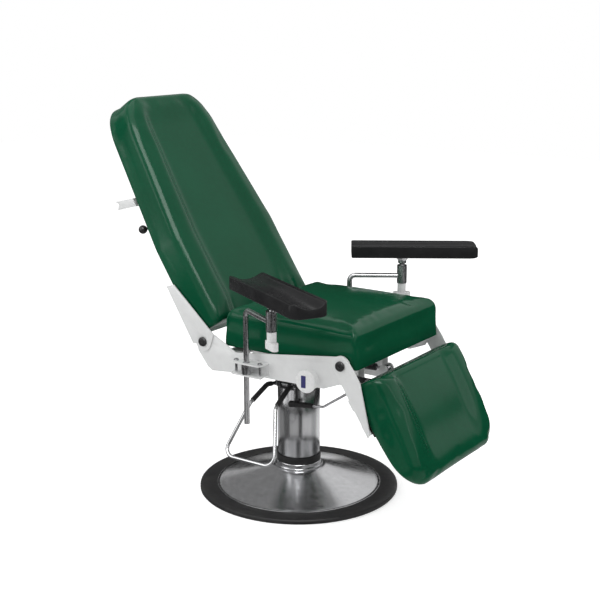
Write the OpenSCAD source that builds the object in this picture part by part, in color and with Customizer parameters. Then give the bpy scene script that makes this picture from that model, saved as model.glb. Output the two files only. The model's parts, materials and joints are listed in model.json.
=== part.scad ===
// Height-adjustable chair for taking blood, in millimetres.
// Patient faces +X, patient's left is +Y, the floor is z = 0 and the column stands on the Z axis.

/* [Base] */
// Outer diameter of the rubber ring on the floor
base_d = 650; // [600:10:720]
// Width of the rubber ring seen from above
ring_w = 56; // [40:1:70]
// Height of the rubber ring
ring_h = 15; // [12:1:22]
// Height of the dished cover at its middle
dome_h = 73; // [60:1:90]
// Wall of the dished cover
dome_wall = 3; // [2:0.5:5]
// Thickness of the steel floor plate
floor_plate_t = 9; // [6:1:10]
// Diameter of the neck that stands on the dished cover
neck_d = 156; // [148:2:170]
// Height of that neck
neck_h = 19.5; // [14:0.5:26]

/* [Column] */
// Diameter of the bright column cover
cover_d = 138; // [120:2:142]
// Wall of the column cover
cover_wall = 2; // [1.5:0.5:4]
// Height of the top of the column cover at the lowest setting
cover_top = 345; // [335:1:380]
// Height of the black collar under the column cover
collar_h = 21; // [14:1:30]
// How far the collar stands out past the cover
collar_lip = 3; // [1:0.5:5]
// Diameter of the lifting ram
ram_d = 56; // [44:1:60]
// Wall of the ram
ram_wall = 8; // [5:1:10]
// Wall of the hydraulic cylinder round the ram
cylinder_wall = 13; // [8:1:18]
// Travel of the lift
lift = 200; // [120:5:205]

/* [Pump and pedal] */
// Width of the pump head along X
pump_w = 90; // [80:2:110]
// Height of the pump head
pump_h = 50; // [44:1:56]
// Distance of the pedal shaft in front of the column axis
pedal_reach = 74; // [72:1:84]
// Height of the pedal shaft above the column cover
pedal_rise = 18; // [14:1:22]
// Diameter of the pedal rod
pedal_rod_d = 12; // [9:0.5:14]
// Width of the pedal between its side rods at the foot bar
pedal_w = 200; // [150:5:240]
// Height of the foot bar above the floor
pedal_bar_z = 167; // [155:1:190]
// Wall of the black sleeves on the pedal rods
pedal_sleeve_wall = 2; // [1:0.5:3]

/* [Frame] */
// Height of the pivot of the back
rear_pivot_z = 520; // [512:1:530]
// Distance of the back pivot behind the column axis
rear_pivot_x = 181; // [172:1:190]
// Distance of the leg rest pivot ahead of the column axis
front_pivot_x = 327; // [320:1:334]
// Height of the leg rest pivot above the back pivot
pivot_step = 7; // [0:1:10]
// Thickness of the side plates and of the pivoting arms
plate_t = 4; // [3:0.5:5]
// Depth of the side plates
plate_depth = 100; // [94:1:106]
// Radius of the plates round their pivots
pivot_eye_r = 30; // [26:1:33]
// Diameter of the pivot bolts
pivot_bolt_d = 12; // [8:0.5:16]
// Diameter of the black caps on the pivot bolts
pivot_cap_d = 30; // [24:1:36]
// Diameter of the round white end caps
end_cap_d = 70; // [60:1:76]
// How far the end caps stand out from the side plates
end_cap_reach = 33; // [28:1:38]

/* [Seat] */
// Width of the seat cushion
seat_w = 500; // [470:5:530]
// Length of the seat cushion
seat_l = 487; // [480:1:492]
// Height of the seat cushion at its edge
seat_t = 120; // [100:1:130]
// Rise of the seat cushion from its edge to its middle
seat_crown = 20; // [8:1:30]
// Radius of the seat cushion's top edges
seat_edge_r = 23; // [16:1:36]
// Thickness of the seat board
board_t = 15; // [10:1:18]

/* [Back] */
// Length of the back cushion
back_l = 804; // [740:1:860]
// Lean of the back from upright, in degrees
back_lean = 33; // [31:0.5:34]
// Thickness of the back cushion without its board
back_t = 110; // [95:1:112]
// Half width of the back cushion where its top corners begin
back_top_half = 205; // [185:1:220]
// Depth of the hollow between the side bolsters
back_hollow = 15; // [6:1:22]
// Length of the two back arms from pivot to tip
back_arm_l = 206; // [190:1:222]

/* [Leg rest] */
// Length of the leg cushion
leg_l = 340; // [315:1:355]
// Slope of the leg rest below level, in degrees
leg_drop = 55; // [53:0.5:57]
// Thickness of the leg cushion without its board
leg_t = 85; // [70:1:88]
// Depth of the hollow between its side bolsters
leg_hollow = 17; // [8:1:24]
// Length of the two leg arms from pivot to tip
leg_arm_l = 218; // [200:1:230]

/* [Armrests] */
// Diameter of the armrest rods
rod_d = 17; // [12:0.5:18]
// Distance of the rods from the sides of the seat cushion
rod_gap = 39; // [36:1:46]
// Height of the lower end of the rods
rod_low = 296; // [280:1:330]
// Height of the level part of the rods
rod_high = 655; // [648:1:670]
// Length of the level part, from rod to sleeve
arm_l = 176; // [150:1:200]
// Outward swing of the right armrest, in degrees
right_swing = 28; // [10:1:40]
// Outward swing of the left armrest, in degrees
left_swing = 33; // [10:1:40]
// Diameter of the sleeves that carry the pads
sleeve_d = 33; // [30:0.5:38]
// Height of those sleeves
sleeve_h = 58; // [50:1:64]
// Length of an arm pad
pad_l = 421; // [360:1:460]
// Length of an arm pad behind its stem
pad_tail = 171; // [140:1:200]
// Width of an arm pad
pad_w = 114; // [100:1:130]
// Thickness of an arm pad
pad_t = 40; // [34:1:46]
// Depth of the trough along an arm pad
pad_trough = 15; // [5:1:18]
// Height of the pads' underside
pad_z = 725; // [722:1:740]
// Span of the wings on the clamp knob
knob_w = 58; // [40:1:60]

/* [Levers and springs] */
// Diameter of the black grip on the leg release lever
grip_d = 22; // [16:1:24]
// Diameter of the release lever rods
lever_rod_d = 8; // [6:0.5:10]
// Diameter of the ball knob behind the back
ball_d = 28; // [22:1:34]
// Diameter of the gas springs
gas_d = 22; // [18:1:23]
// Diameter of the gas spring rods
gas_rod_d = 8; // [6:0.5:10]

/* [Hidden] */
$fn = 64;

// Running clearance of shafts and slides, and the gap between parts that pass each other
fit = 0.05;
gap = 0.5;
// Overrun of the cuts
cut = 1;
right = -1;
left = 1;

// Base sizes
ring_in_r = base_d / 2 - ring_w;
ring_grip = 21;
ring_round = 6;
floor_plate_r = ring_in_r + ring_grip;
dome_edge_r = ring_in_r - gap;
dome_neck_r = neck_d / 2 + 2 * cut;
dome_hole_r = 60;
dome_sag_share = 0.2;
dome_steps = 10;
neck_step_h = 7;
neck_step = 5;
neck_foot_r = 66;
neck_foot_h = 9;
neck_top = dome_h + neck_h;
bearing_wall = 8;
bearing_h = 24;
bearing_r = ram_d / 2 + bearing_wall;
base_bolt_d = 10;
base_bolt_r = (bearing_r + bearing_wall + neck_foot_r) / 2;
bolt_head_share = 0.85;
bolt_head_h_share = 0.6;

// Column sizes
collar_low = neck_top + gap;
collar_top = collar_low + collar_h;
bush_h = 18;
bush_rise = 4;
bush_low = collar_low + bush_rise;
bush_top = bush_low + bush_h;
cylinder_r = ram_d / 2 + cylinder_wall;
cylinder_cap = 5;
ram_engage = 12;
ram_foot_gap = 0.5;
ram_top = bush_top + lift + ram_engage;
piston_h = 12;
piston_spigot_h = 14;

// Pump head sizes
pump_disc_h = 8;
pump_l = 122;
pump_top = cover_top + pump_h;
ear_in = 14;
ear_t = 13;
ear_r = 11;
shaft_d = 12;
shaft_collar_d = 19;
shaft_collar_l = 10;
pedal_y = -pedal_reach;
pedal_z = cover_top + pedal_rise;
pedal_bend_r = 30;
pedal_neck_y = -117;
pedal_neck_z = 368;
pedal_neck_x = 41;
pedal_knee_y = -197;
pedal_knee_z = 327;
pedal_knee_x = 48.5;
pedal_foot_y = -275;
pedal_root_x = 34;
sleeve_tail = 12;
sleeve_root_share = 0.55;

// Frame sizes
mount_t = 10;
mount_half_x = 85;
mount_top = pump_top + mount_t;
mount_bolt_d = 10;
mount_bolt_x = 32;
mount_bolt_y = 36;
mount_bolt_l = 24;
rail_w = 40;
rail_in = 50;
rail_wall = 4;
rail_rear = 120;
rail_front = 280;
cross_t = 9;
cross_w = 60;
cross_x = [-75, 104.5, 284];
seat_drop = 5;
seat_z = rear_pivot_z - seat_drop;
board_z = seat_z - board_t;
rail_top = board_z - cross_t;
side_gap = 4;
plate_in = seat_w / 2 + side_gap;
plate_out = plate_in + plate_t;
arm_in = plate_out + gap;
arm_out = arm_in + plate_t;
front_pivot_z = rear_pivot_z + pivot_step;
pivot_span = front_pivot_x + rear_pivot_x;
bolt_flange_t = 2.5;
bolt_flange_d = 22;
bolt_cap_h = 7;
// Side plate outline: shares of the pivot span ahead of the back pivot and of the depth above it
plate_shares = [[-0.057, -0.05], [-0.047, -0.32], [0.028, -0.8], [0.061, -0.9], [0.23, -0.82],
    [0.378, -0.78], [0.551, -0.77], [0.882, -0.73], [0.99, -0.51], [1.05, 0.05],
    [1.02, 0.35], [0.246, -0.17], [0.087, 0.25], [0, 0.28]];
lip_w = 20;
lip_shares = [0.061, 0.23];
housing_x = 221;
housing_drop = 52;
housing_z = rear_pivot_z - housing_drop;
housing_r = 30;
housing_wall = 4;
housing_in = 22;
end_cap_rim_t = 5;
end_cap_dome = 4;
end_cap_spigot = 10;
insert_w = 16;
insert_h = 37;
insert_t = 1;
insert_shift = 3;

// Armrest bracket sizes
bracket_front = 69;
bracket_back = 46;
bracket_drop = 69;
bracket_h = 40;
bracket_low = rear_pivot_z - bracket_drop;
bracket_high = bracket_low + bracket_h;
bracket_overhang = 16;
rod_y = seat_w / 2 + rod_gap;
bracket_reach = rod_y + bracket_overhang;
bracket_t = 4;
rod_x = 8;
collar_r = 15;
collar_spigot_r = 11;
bracket_bolt_d = 8;
bracket_bolt_in = 13;
bracket_bolt_head_h = 5;

// Seat sizes
seat_rear = -112;
board_inset = 48;
draw_in = 5;

// Back sizes, in the frame of the back: X is square to its face, Z runs up it
back_set_x = 65;
back_set_z = 71;
back_x = back_set_x - rear_pivot_x;
back_z = rear_pivot_z + back_set_z;
back_overhang = 6;
back_bottom_half = seat_w / 2 + back_overhang;
back_taper_from_share = 0.375;
back_taper_to_share = 0.908;
back_corner_w = 90;
back_corner_l = 116;
back_edge_r = 19;
back_board_t = 13;
back_board_inset = 24;
back_rear = back_t + back_board_t;
back_arm_shares = [[-0.706, 0.762], [-0.563, 0.806], [0.199, 0.136], [0.146, -0.024], [-0.199, -0.06]];
strap_t = 4;
strap_low = 22;
strap_h = 46;
strap_gap = 60;
upright_w = 30;
upright_t = 12;
upright_y = 72;
upright_top = 610;
top_bar_h = 30;
lug_y = 15;
lug_t = 6;

// Roll holder, in the frame of the back
roll_inset = 20;
roll_y = seat_w / 2 - roll_inset;
roll_t = 4;
roll_low = 466;
roll_h = 28;
roll_reach = 79;
roll_rise = 26;
roll_notch = 12;

// Leg rest sizes, in the frame of the leg rest: X runs down it, Z is square to its face
leg_set_x = 98;
leg_set_z = 32;
leg_x = front_pivot_x + leg_set_x;
leg_z = front_pivot_z - leg_set_z;
leg_overhang = 6;
leg_half = seat_w / 2 + leg_overhang;
leg_edge_r = 30;
leg_top_end = 13;
leg_curl_from = 165;
leg_curl_end = 54;
leg_crest = 27;
leg_sag = 54;
leg_tip_r = 18;
leg_corner_r = 76;
leg_fade_l = 90;
leg_board_t = 12;
leg_board_inset = 22;
leg_board_l = 134;
leg_rear = leg_t + leg_board_t;
leg_arm_shares = [[0.11, 0.092], [0.225, -0.06], [0.307, -0.193], [0.468, -0.858], [0.44, -0.917],
    [0.032, -0.275], [-0.118, -0.073]];
leg_strap_x = [14, 96];
leg_strap_w = 36;
leg_tab_t = 4;
leg_tab_h = 18;
leg_lug_r = 14;
leg_lug_step = 2;

// Gas spring places, ahead of the column axis and below the pivot of the back
back_gas_drop = 76;
back_eye_drop = 15;
leg_gas_drop = 74;
leg_eye_drop = 65;
back_gas_fixed = [-40, rear_pivot_z - back_gas_drop];
back_gas_moving = [-211, rear_pivot_z - back_eye_drop];
leg_gas_fixed = [140, rear_pivot_z - leg_gas_drop];
leg_gas_moving = [327, rear_pivot_z - leg_eye_drop];
gas_pin_d = 10;
lug_pin_d = 8;
gas_eye_r = 13;
gas_wall = 2;
gas_cap = 8;
back_open_play = 2.9;
leg_open_play = 5;
back_gas_l = 112;
leg_gas_l = 150;
gas_eye_t = 16;
piston_t = 10;
back_piston_at = 92;
leg_piston_at = 46;
back_lug_r = 13;

// Release lever places
lever_y = -100;
lever_drop = 84;
lever_bend_drop = 194;
lever_pivot = [322, rear_pivot_z - lever_drop];
lever_bend = [162, rear_pivot_z - lever_bend_drop];
lever_hub_d = 18;
lever_hub_l = 9;
lever_stud_d = 8;
lever_bar_t = 5;
lever_bar_h = 18;
lever_bar_lap = 20;
grip_drop = 208;
grip_tip = [34, rear_pivot_z - grip_drop];
grip_l = 90;
grip_root_d = 16;
grip_bore = 28;
stop_x = 61;
stop_d = 9;
stop_drop = 193.5;
stop_low = rear_pivot_z - stop_drop;
stop_l = 78.5;
stop_top = max(mount_top, stop_low + stop_l);
stop_tab_h = 6;
ball_lever_z = 394;
ball_lever_x = 152;
ball_inset = 32;
ball_y = seat_w / 2 - ball_inset;
ball_ferrule_d = 14;
ball_stud_d = 8;
ball_hub_d = 18;
ball_hub_l = 24;
ball_ear_t = 4;

// Arm pad and knob sizes
rod_bend_r = 20;
sleeve_low = 630;
stem_wall = 4.5;
stem_r = sleeve_d / 2 - stem_wall;
stem_neck_d = 15;
stem_ball_d = 24;
stem_ball_z = 704;
stem_shoulder_h = 3.5;
stud_d = 12;
stud_l = 44;
socket_low = 699;
socket_low_r = 14;
socket_top_r = 24;
socket_collar_h = 4;
socket_flange_t = 4;
pad_round = 8;
pad_front_r = 34;
pad_lip = 12;
knob_stem_d = 28;
knob_stem_h = 30;
knob_wing_h = 24;
knob_wing_t = 22;

rod_steps = 5;
rod_facets = 20;

function unit(v) = v / norm(v);

// Turns and places its children so that their Z axis runs from one point towards another
module from_to(a, b) {
    way = b - a;
    translate(a) rotate([0, acos(way.z / norm(way)), atan2(way.y, way.x)]) children();
}

// Turns a vector about an axis
function turned(v, axis, a) = v * cos(a) + cross(axis, v) * sin(a) + axis * (axis * v) * (1 - cos(a));

// Side directions of a rod along its straight runs, carried round each bend without a twist
function rod_sides(way, i) = i == 0 ? [unit(cross(way[0], [0, 0, 1]))] : let (
        past = rod_sides(way, i - 1))
    concat(past, [turned(past[i - 1], unit(cross(way[i - 1], way[i])), acos(way[i - 1] * way[i]))]);

// A round rod through a list of points, with a true bend at every inner point
module bent_rod(path, d, bend_r) {
    last = len(path) - 1;
    way = [for (i = [0 : last - 1]) unit(path[i + 1] - path[i])];
    side = rod_sides(way, last - 1);
    bends = [for (i = [1 : last - 1], k = [0 : rod_steps]) let (
            turn = acos(way[i - 1] * way[i]),
            axis = unit(cross(way[i - 1], way[i])),
            start = path[i] - way[i - 1] * bend_r * tan(turn / 2),
            centre = path[i] + unit(way[i] - way[i - 1]) * bend_r / cos(turn / 2))
        [centre + turned(start - centre, axis, turn * k / rod_steps),
            turned(way[i - 1], axis, turn * k / rod_steps), turned(side[i - 1], axis, turn * k / rod_steps)]];
    stations = concat([[path[0], way[0], side[0]]], bends, [[path[last], way[last - 1], side[last - 1]]]);
    skin([for (st = stations) [for (k = [0 : rod_facets - 1])
        st[0] + turned(st[2], st[1], k * 360 / rod_facets) * d / 2]]);
}

// A plate in the XZ plane, its near face at y0 on the chosen side of the chair
module side_slab(side, y0, t) {
    translate([0, side > 0 ? y0 + t : -y0, 0]) rotate([90, 0, 0]) linear_extrude(t) children();
}

// A round bar across the chair through a point of the XZ plane
module cross_bar(at, d, y0, y1) {
    translate([at[0], y1, at[1]]) rotate([90, 0, 0]) cylinder(d = d, h = y1 - y0);
}

module tube(d, bore, h) {
    difference() {
        cylinder(d = d, h = h);
        translate([0, 0, -cut]) cylinder(d = bore, h = h + 2 * cut);
    }
}

// Closed skin through rings that hold the same number of points, with a fan over each end
module skin(rings) {
    n = len(rings[0]);
    m = len(rings);
    ends = [for (ring = [rings[0], rings[m - 1]]) [for (p = ring) 1 / n] * ring];
    points = concat([for (ring = rings) each ring], ends);
    walls = [for (i = [0 : m - 2], j = [0 : n - 1])
        each [[i * n + j, (i + 1) * n + j, i * n + (j + 1) % n],
            [(i + 1) * n + j, (i + 1) * n + (j + 1) % n, i * n + (j + 1) % n]]];
    near = [for (j = [0 : n - 1]) [m * n, j, (j + 1) % n]];
    far = [for (j = [0 : n - 1]) [m * n + 1, (m - 1) * n + (j + 1) % n, (m - 1) * n + j]];
    polyhedron(points, concat(walls, near, far));
}

// Places across a cushion's top where its skin changes, as shares of the half width inside the edge
top_shares = [1, 0.9, 0.81, 0.72, 0.63, 0.54, 0.3, 0];
bolster_in_share = 0.56;
bolster_out_share = 0.83;
corner_turns = [0, 22.5, 45, 67.5];
side_share = 0.5;
// Turns of the rounded edge at a cushion's ends, and how much of that rounding its corners take
end_turns = [0, 25, 48, 70];
end_shares = [for (a = end_turns) 1 - cos(a)];
corner_share = 0.4;
back_foot_share = 0.6;
leg_corner_share = 0.3;
edge_height_share = 0.7;

function smooth(t) = let (c = min(1, max(0, t))) c * c * (3 - 2 * c);

// How far the top has come up from the hollow to the crest of a side bolster
function bolster(share) = smooth((share - bolster_in_share) / (bolster_out_share - bolster_in_share));

// Drop of a rounded edge at a distance from the end
function edge_drop(inset, r) = inset >= r ? 0 : r - sqrt(r * r - (r - inset) * (r - inset));

// Right half of a cushion section, from the bottom middle up to the top middle
function half_section(half, low, high, r, rise) = concat(
    [[0, low], [half - draw_in, low], [half, low + (high - r - low) * side_share]],
    [for (a = corner_turns) [half - r + r * cos(a), high - r + r * sin(a)]],
    [for (i = [0 : len(top_shares) - 1]) [(half - r) * top_shares[i], high + rise[i]]]);

// Whole section: the right half, then the left half back down to the bottom
function section(half, low, high, edge_r, rise) = let (
        r = min(edge_r, (high - low) * edge_height_share),
        side = half_section(half, low, high, r, rise))
    concat(side, [for (i = [len(side) - 2 : -1 : 1]) [-side[i][0], side[i][1]]]);

// Base

module base_bolt_places() {
    for (a = [45 : 90 : 315]) rotate(a) translate([base_bolt_r, 0, 0]) children();
}

module base_plate() {
    color("dimgray") difference() {
        cylinder(r = floor_plate_r, h = floor_plate_t, $fn = 128);
        base_bolt_places() translate([0, 0, -cut])
            cylinder(d = base_bolt_d + 2 * fit, h = floor_plate_t + 2 * cut);
    }
}

module base_rim() {
    color("#1c1c1c") rotate_extrude($fn = 128) difference() {
        union() {
            translate([ring_in_r, 0]) square([ring_w - ring_round, ring_h]);
            translate([ring_in_r, 0]) square([ring_w, ring_h - ring_round]);
            translate([base_d / 2 - ring_round, ring_h - ring_round]) circle(r = ring_round);
        }
        translate([0, -cut]) square([floor_plate_r, floor_plate_t + cut]);
    }
}

// Height of the dished cover at a share of the way from its edge to its neck
function dome_z(t) = ring_h + (dome_h - ring_h) * ((1 - dome_sag_share) * t + dome_sag_share * t * t);

module base_dome() {
    run = dome_edge_r - dome_neck_r;
    outer = [for (i = [0 : dome_steps]) let (t = i / dome_steps) [dome_edge_r - run * t, dome_z(t)]];
    inner = [for (p = outer) [p[0] - dome_wall / 2, p[1] - dome_wall]];
    color("#c9ccd1") rotate_extrude($fn = 128) polygon(concat(
        [[dome_edge_r, floor_plate_t]], outer,
        [[dome_hole_r, dome_h], [dome_hole_r, dome_h - dome_wall]],
        [for (i = [dome_steps : -1 : 0]) inner[i]], [[dome_edge_r - dome_wall / 2, floor_plate_t]]));
}

module base_neck() {
    color("#d4d6da") difference() {
        union() {
            translate([0, 0, floor_plate_t]) cylinder(r = neck_foot_r, h = neck_foot_h);
            translate([0, 0, floor_plate_t]) cylinder(r = bearing_r + bearing_wall, h = dome_h - floor_plate_t);
            translate([0, 0, dome_h]) cylinder(d = neck_d, h = neck_step_h, $fn = 96);
            translate([0, 0, dome_h]) cylinder(d = neck_d - 2 * neck_step, h = neck_h, $fn = 96);
        }
        translate([0, 0, floor_plate_t - cut]) cylinder(r = bearing_r + fit, h = neck_top);
        base_bolt_places() translate([0, 0, floor_plate_t - cut])
            cylinder(d = base_bolt_d + 2 * fit, h = neck_foot_h + 2 * cut);
    }
}

module base_bolts() {
    color("#555555") base_bolt_places() {
        cylinder(d = base_bolt_d, h = floor_plate_t + neck_foot_h);
        translate([0, 0, floor_plate_t + neck_foot_h])
            cylinder(r = base_bolt_d * bolt_head_share, h = base_bolt_d * bolt_head_h_share, $fn = 6);
    }
}

module swivel_bearings() {
    color("#8a7a4a") for (z = [floor_plate_t + neck_foot_h, neck_top - bearing_h]) {
        translate([0, 0, z]) tube(2 * bearing_r, ram_d + 2 * fit, bearing_h);
    }
}

// Column

module ram_tube() {
    low = floor_plate_t + ram_foot_gap;
    color("#dcdfe3") translate([0, 0, low]) tube(ram_d, ram_d - 2 * ram_wall, ram_top - piston_h - low);
}

module ram_piston() {
    spigot_r = ram_d / 2 - ram_wall - fit;
    color("#6b6b6b") {
        translate([0, 0, ram_top - piston_h]) cylinder(d = ram_d, h = piston_h);
        translate([0, 0, ram_top - piston_h - piston_spigot_h]) cylinder(r = spigot_r, h = piston_spigot_h + cut);
    }
}

module column_cover() {
    color("#cfd2d6") translate([0, 0, collar_top])
        tube(cover_d, cover_d - 2 * cover_wall, cover_top - collar_top, $fn = 96);
}

module column_collar() {
    color("#1c1c1c") translate([0, 0, collar_low])
        tube(cover_d + 2 * collar_lip, 2 * (cylinder_r + fit), collar_h, $fn = 96);
}

module hydraulic_cylinder() {
    color("#9a9da1") difference() {
        translate([0, 0, bush_top]) cylinder(r = cylinder_r, h = cover_top - bush_top);
        translate([0, 0, bush_top - cut])
            cylinder(d = ram_d + 2 * fit, h = cover_top - cylinder_cap - bush_top + cut);
    }
}

module guide_bush() {
    color("#b08d4c") translate([0, 0, bush_low]) tube(2 * cylinder_r, ram_d + 2 * fit, bush_h);
}

module mount_bolt_places() {
    for (x = [-mount_bolt_x, mount_bolt_x], y = [-mount_bolt_y, mount_bolt_y]) translate([x, y, 0]) children();
}

module pump_head() {
    ear_l = pedal_reach - pump_l / 2;
    color("#232323") difference() {
        union() {
            translate([0, 0, cover_top]) cylinder(d = cover_d - 2 * collar_lip, h = pump_disc_h);
            translate([-pump_w / 2, -pump_l / 2, cover_top]) cube([pump_w, pump_l, pump_h]);
            for (s = [-1, 1]) {
                translate([s * (ear_in + ear_t / 2), pedal_y, pedal_z]) {
                    translate([-ear_t / 2, 0, -ear_r]) cube([ear_t, ear_l + cut, 2 * ear_r]);
                    rotate([0, 90, 0]) cylinder(r = ear_r, h = ear_t, center = true);
                }
            }
        }
        translate([0, pedal_y, pedal_z]) rotate([0, 90, 0])
            cylinder(d = shaft_d + 2 * fit, h = pump_w, center = true);
        mount_bolt_places() translate([0, 0, pump_top - mount_bolt_l])
            cylinder(d = mount_bolt_d + 2 * fit, h = mount_bolt_l + cut);
    }
}

// Pedal

module pedal_shaft() {
    half = ear_in + ear_t + gap;
    color("#8d9094") translate([0, pedal_y, pedal_z]) rotate([0, 90, 0]) {
        cylinder(d = shaft_d, h = 2 * (half + shaft_collar_l), center = true);
        for (s = [-1, 1]) {
            translate([0, 0, s * (half + shaft_collar_l / 2)])
                cylinder(d = shaft_collar_d, h = shaft_collar_l, center = true);
        }
    }
}

function pedal_side(s) = [[s * pedal_root_x, pedal_y, pedal_z], [s * pedal_neck_x, pedal_neck_y, pedal_neck_z],
    [s * pedal_knee_x, pedal_knee_y, pedal_knee_z], [s * pedal_w / 2, pedal_foot_y, pedal_bar_z]];

module pedal_stirrup() {
    right_side = pedal_side(-1);
    left_side = pedal_side(1);
    color("#c9ccd1") difference() {
        bent_rod(concat(right_side, [for (i = [3 : -1 : 0]) left_side[i]]), pedal_rod_d, pedal_bend_r);
        translate([0, pedal_y, pedal_z]) rotate([0, 90, 0])
            cylinder(d = shaft_collar_d, h = pedal_w, center = true);
    }
}

// Sleeves over the bends below the shaft
module pedal_sleeves() {
    color("#1c1c1c") for (s = [-1, 1]) {
        way = pedal_side(s);
        start = way[0] + (way[1] - way[0]) * sleeve_root_share;
        end = way[2] - unit(way[2] - way[1]) * sleeve_tail;
        difference() {
            bent_rod([start, way[1], end], pedal_rod_d + 2 * pedal_sleeve_wall, pedal_bend_r);
            bent_rod([way[0], way[1], way[2]], pedal_rod_d + 2 * fit, pedal_bend_r);
        }
    }
}

// Frame

module mount_plate() {
    color("#2b2b2b") difference() {
        translate([-mount_half_x, -rail_in - rail_w, pump_top])
            cube([2 * mount_half_x, 2 * (rail_in + rail_w), mount_t]);
        mount_bolt_places() translate([0, 0, pump_top - cut])
            cylinder(d = mount_bolt_d + 2 * fit, h = mount_t + 2 * cut);
    }
}

module mount_bolts() {
    color("#555555") mount_bolt_places() {
        translate([0, 0, pump_top - mount_bolt_l]) cylinder(d = mount_bolt_d, h = mount_bolt_l + mount_t);
        translate([0, 0, mount_top])
            cylinder(r = mount_bolt_d * bolt_head_share, h = mount_bolt_d * bolt_head_h_share, $fn = 6);
    }
}

module frame_rails() {
    h = rail_top - mount_top;
    l = rail_rear + rail_front;
    color("#eef0f0") difference() {
        for (s = [-1, 1]) {
            translate([-rail_rear, s * (rail_in + rail_w / 2), mount_top]) difference() {
                translate([0, -rail_w / 2, 0]) cube([l, rail_w, h]);
                translate([-cut, rail_wall - rail_w / 2, rail_wall])
                    cube([l + 2 * cut, rail_w - 2 * rail_wall, h - 2 * rail_wall]);
            }
        }
        for (at = [back_gas_fixed, leg_gas_fixed]) {
            cross_bar(at, gas_pin_d + 2 * fit, -rail_in - rail_w - cut, rail_in + rail_w + cut);
        }
    }
}

module spring_pins() {
    color("#b8bbc0") for (at = [back_gas_fixed, leg_gas_fixed]) {
        cross_bar(at, gas_pin_d, -rail_in - rail_w, rail_in + rail_w);
    }
}

module frame_crossbars() {
    color("#eef0f0") for (x = cross_x) {
        translate([x - cross_w / 2, -plate_in, rail_top]) cube([cross_w, 2 * plate_in, cross_t]);
    }
}

function plate_points() = [for (p = plate_shares)
    [p[0] * pivot_span - rear_pivot_x, rear_pivot_z + p[1] * plate_depth]];

module side_plate(side) {
    lip_x = lip_shares * pivot_span;
    inner = plate_in - housing_in;
    outer = plate_out + end_cap_reach - end_cap_rim_t - end_cap_dome;
    color("#f2f3f3") difference() {
        union() {
            side_slab(side, plate_in, plate_t) {
                polygon(plate_points());
                translate([-rear_pivot_x, rear_pivot_z]) circle(r = pivot_eye_r);
                translate([front_pivot_x, front_pivot_z]) circle(r = pivot_eye_r - gap);
            }
            cross_bar([housing_x, housing_z], 2 * housing_r, side > 0 ? inner : -outer, side > 0 ? outer : -inner);
            translate([lip_x[0] - rear_pivot_x, side > 0 ? plate_in - lip_w : -plate_in - cut,
                    rear_pivot_z + plate_shares[4][1] * plate_depth])
                cube([lip_x[1] - lip_x[0], lip_w + cut, plate_t]);
        }
        cross_bar([housing_x, housing_z], 2 * (housing_r - housing_wall), -2 * arm_out, 2 * arm_out);
        for (at = [[-rear_pivot_x, rear_pivot_z], [front_pivot_x, front_pivot_z]]) {
            cross_bar(at, pivot_bolt_d + 2 * fit, -arm_out, arm_out);
        }
    }
}

module side_plate_right() {
    side_plate(right);
}

module side_plate_left() {
    side_plate(left);
}

// Round cap with a rounded rim, standing on its flat face
module bolt_cap() {
    round_r = bolt_cap_h / 2;
    rotate_extrude() {
        square([pivot_cap_d / 2, bolt_cap_h - round_r]);
        square([pivot_cap_d / 2 - round_r, bolt_cap_h]);
        translate([pivot_cap_d / 2 - round_r, bolt_cap_h - round_r]) circle(r = round_r);
    }
}

module pivot_bolts() {
    reach = bolt_flange_t + arm_out - plate_in + gap;
    color("#1c1c1c") for (at = [[-rear_pivot_x, rear_pivot_z], [front_pivot_x, front_pivot_z]], s = [-1, 1]) {
        translate([at[0], s * (plate_in - bolt_flange_t), at[1]]) rotate([-90 * s, 0, 0]) {
            cylinder(d = bolt_flange_d, h = bolt_flange_t);
            cylinder(d = pivot_bolt_d, h = reach + cut);
            translate([0, 0, reach]) bolt_cap();
        }
    }
}

module end_cap_place(side, y) {
    translate([housing_x, side * y, housing_z]) rotate([-90 * side, 0, 0]) children();
}

module end_caps() {
    face = plate_out + end_cap_reach - end_cap_rim_t - end_cap_dome;
    flat_r = end_cap_d / 2 - 3 * end_cap_dome;
    color("#fafafa") for (s = [-1, 1]) {
        end_cap_place(s, face - end_cap_spigot) {
            cylinder(r = housing_r - housing_wall - fit, h = end_cap_spigot + cut);
            translate([0, 0, end_cap_spigot]) cylinder(d = end_cap_d, h = end_cap_rim_t);
            translate([0, 0, end_cap_spigot + end_cap_rim_t])
                cylinder(r1 = end_cap_d / 2, r2 = flat_r, h = end_cap_dome);
        }
    }
}

module cap_inserts() {
    color("#23285e") for (s = [-1, 1]) {
        end_cap_place(s, plate_out + end_cap_reach)
            translate([-insert_w / 2 - insert_shift, -insert_h / 2, 0]) cube([insert_w, insert_h, insert_t]);
    }
}

module bracket_bolt_places(s) {
    for (x = [bracket_bolt_in - bracket_back, bracket_front - bracket_bolt_in]) {
        translate([x, s * (rod_y - bracket_t), 0]) children();
    }
}

// Outline of a bracket flange, with round outer corners
module flange_outline(s) {
    end_r = bracket_reach - rod_y;
    w = bracket_back + bracket_front;
    translate([-bracket_back, s > 0 ? plate_out : -rod_y]) square([w, rod_y - plate_out]);
    translate([end_r - bracket_back, s > 0 ? plate_out : -bracket_reach])
        square([w - 2 * end_r, bracket_reach - plate_out]);
    for (x = [end_r - bracket_back, bracket_front - end_r]) {
        translate([x, s * rod_y]) circle(r = end_r);
    }
}

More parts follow.
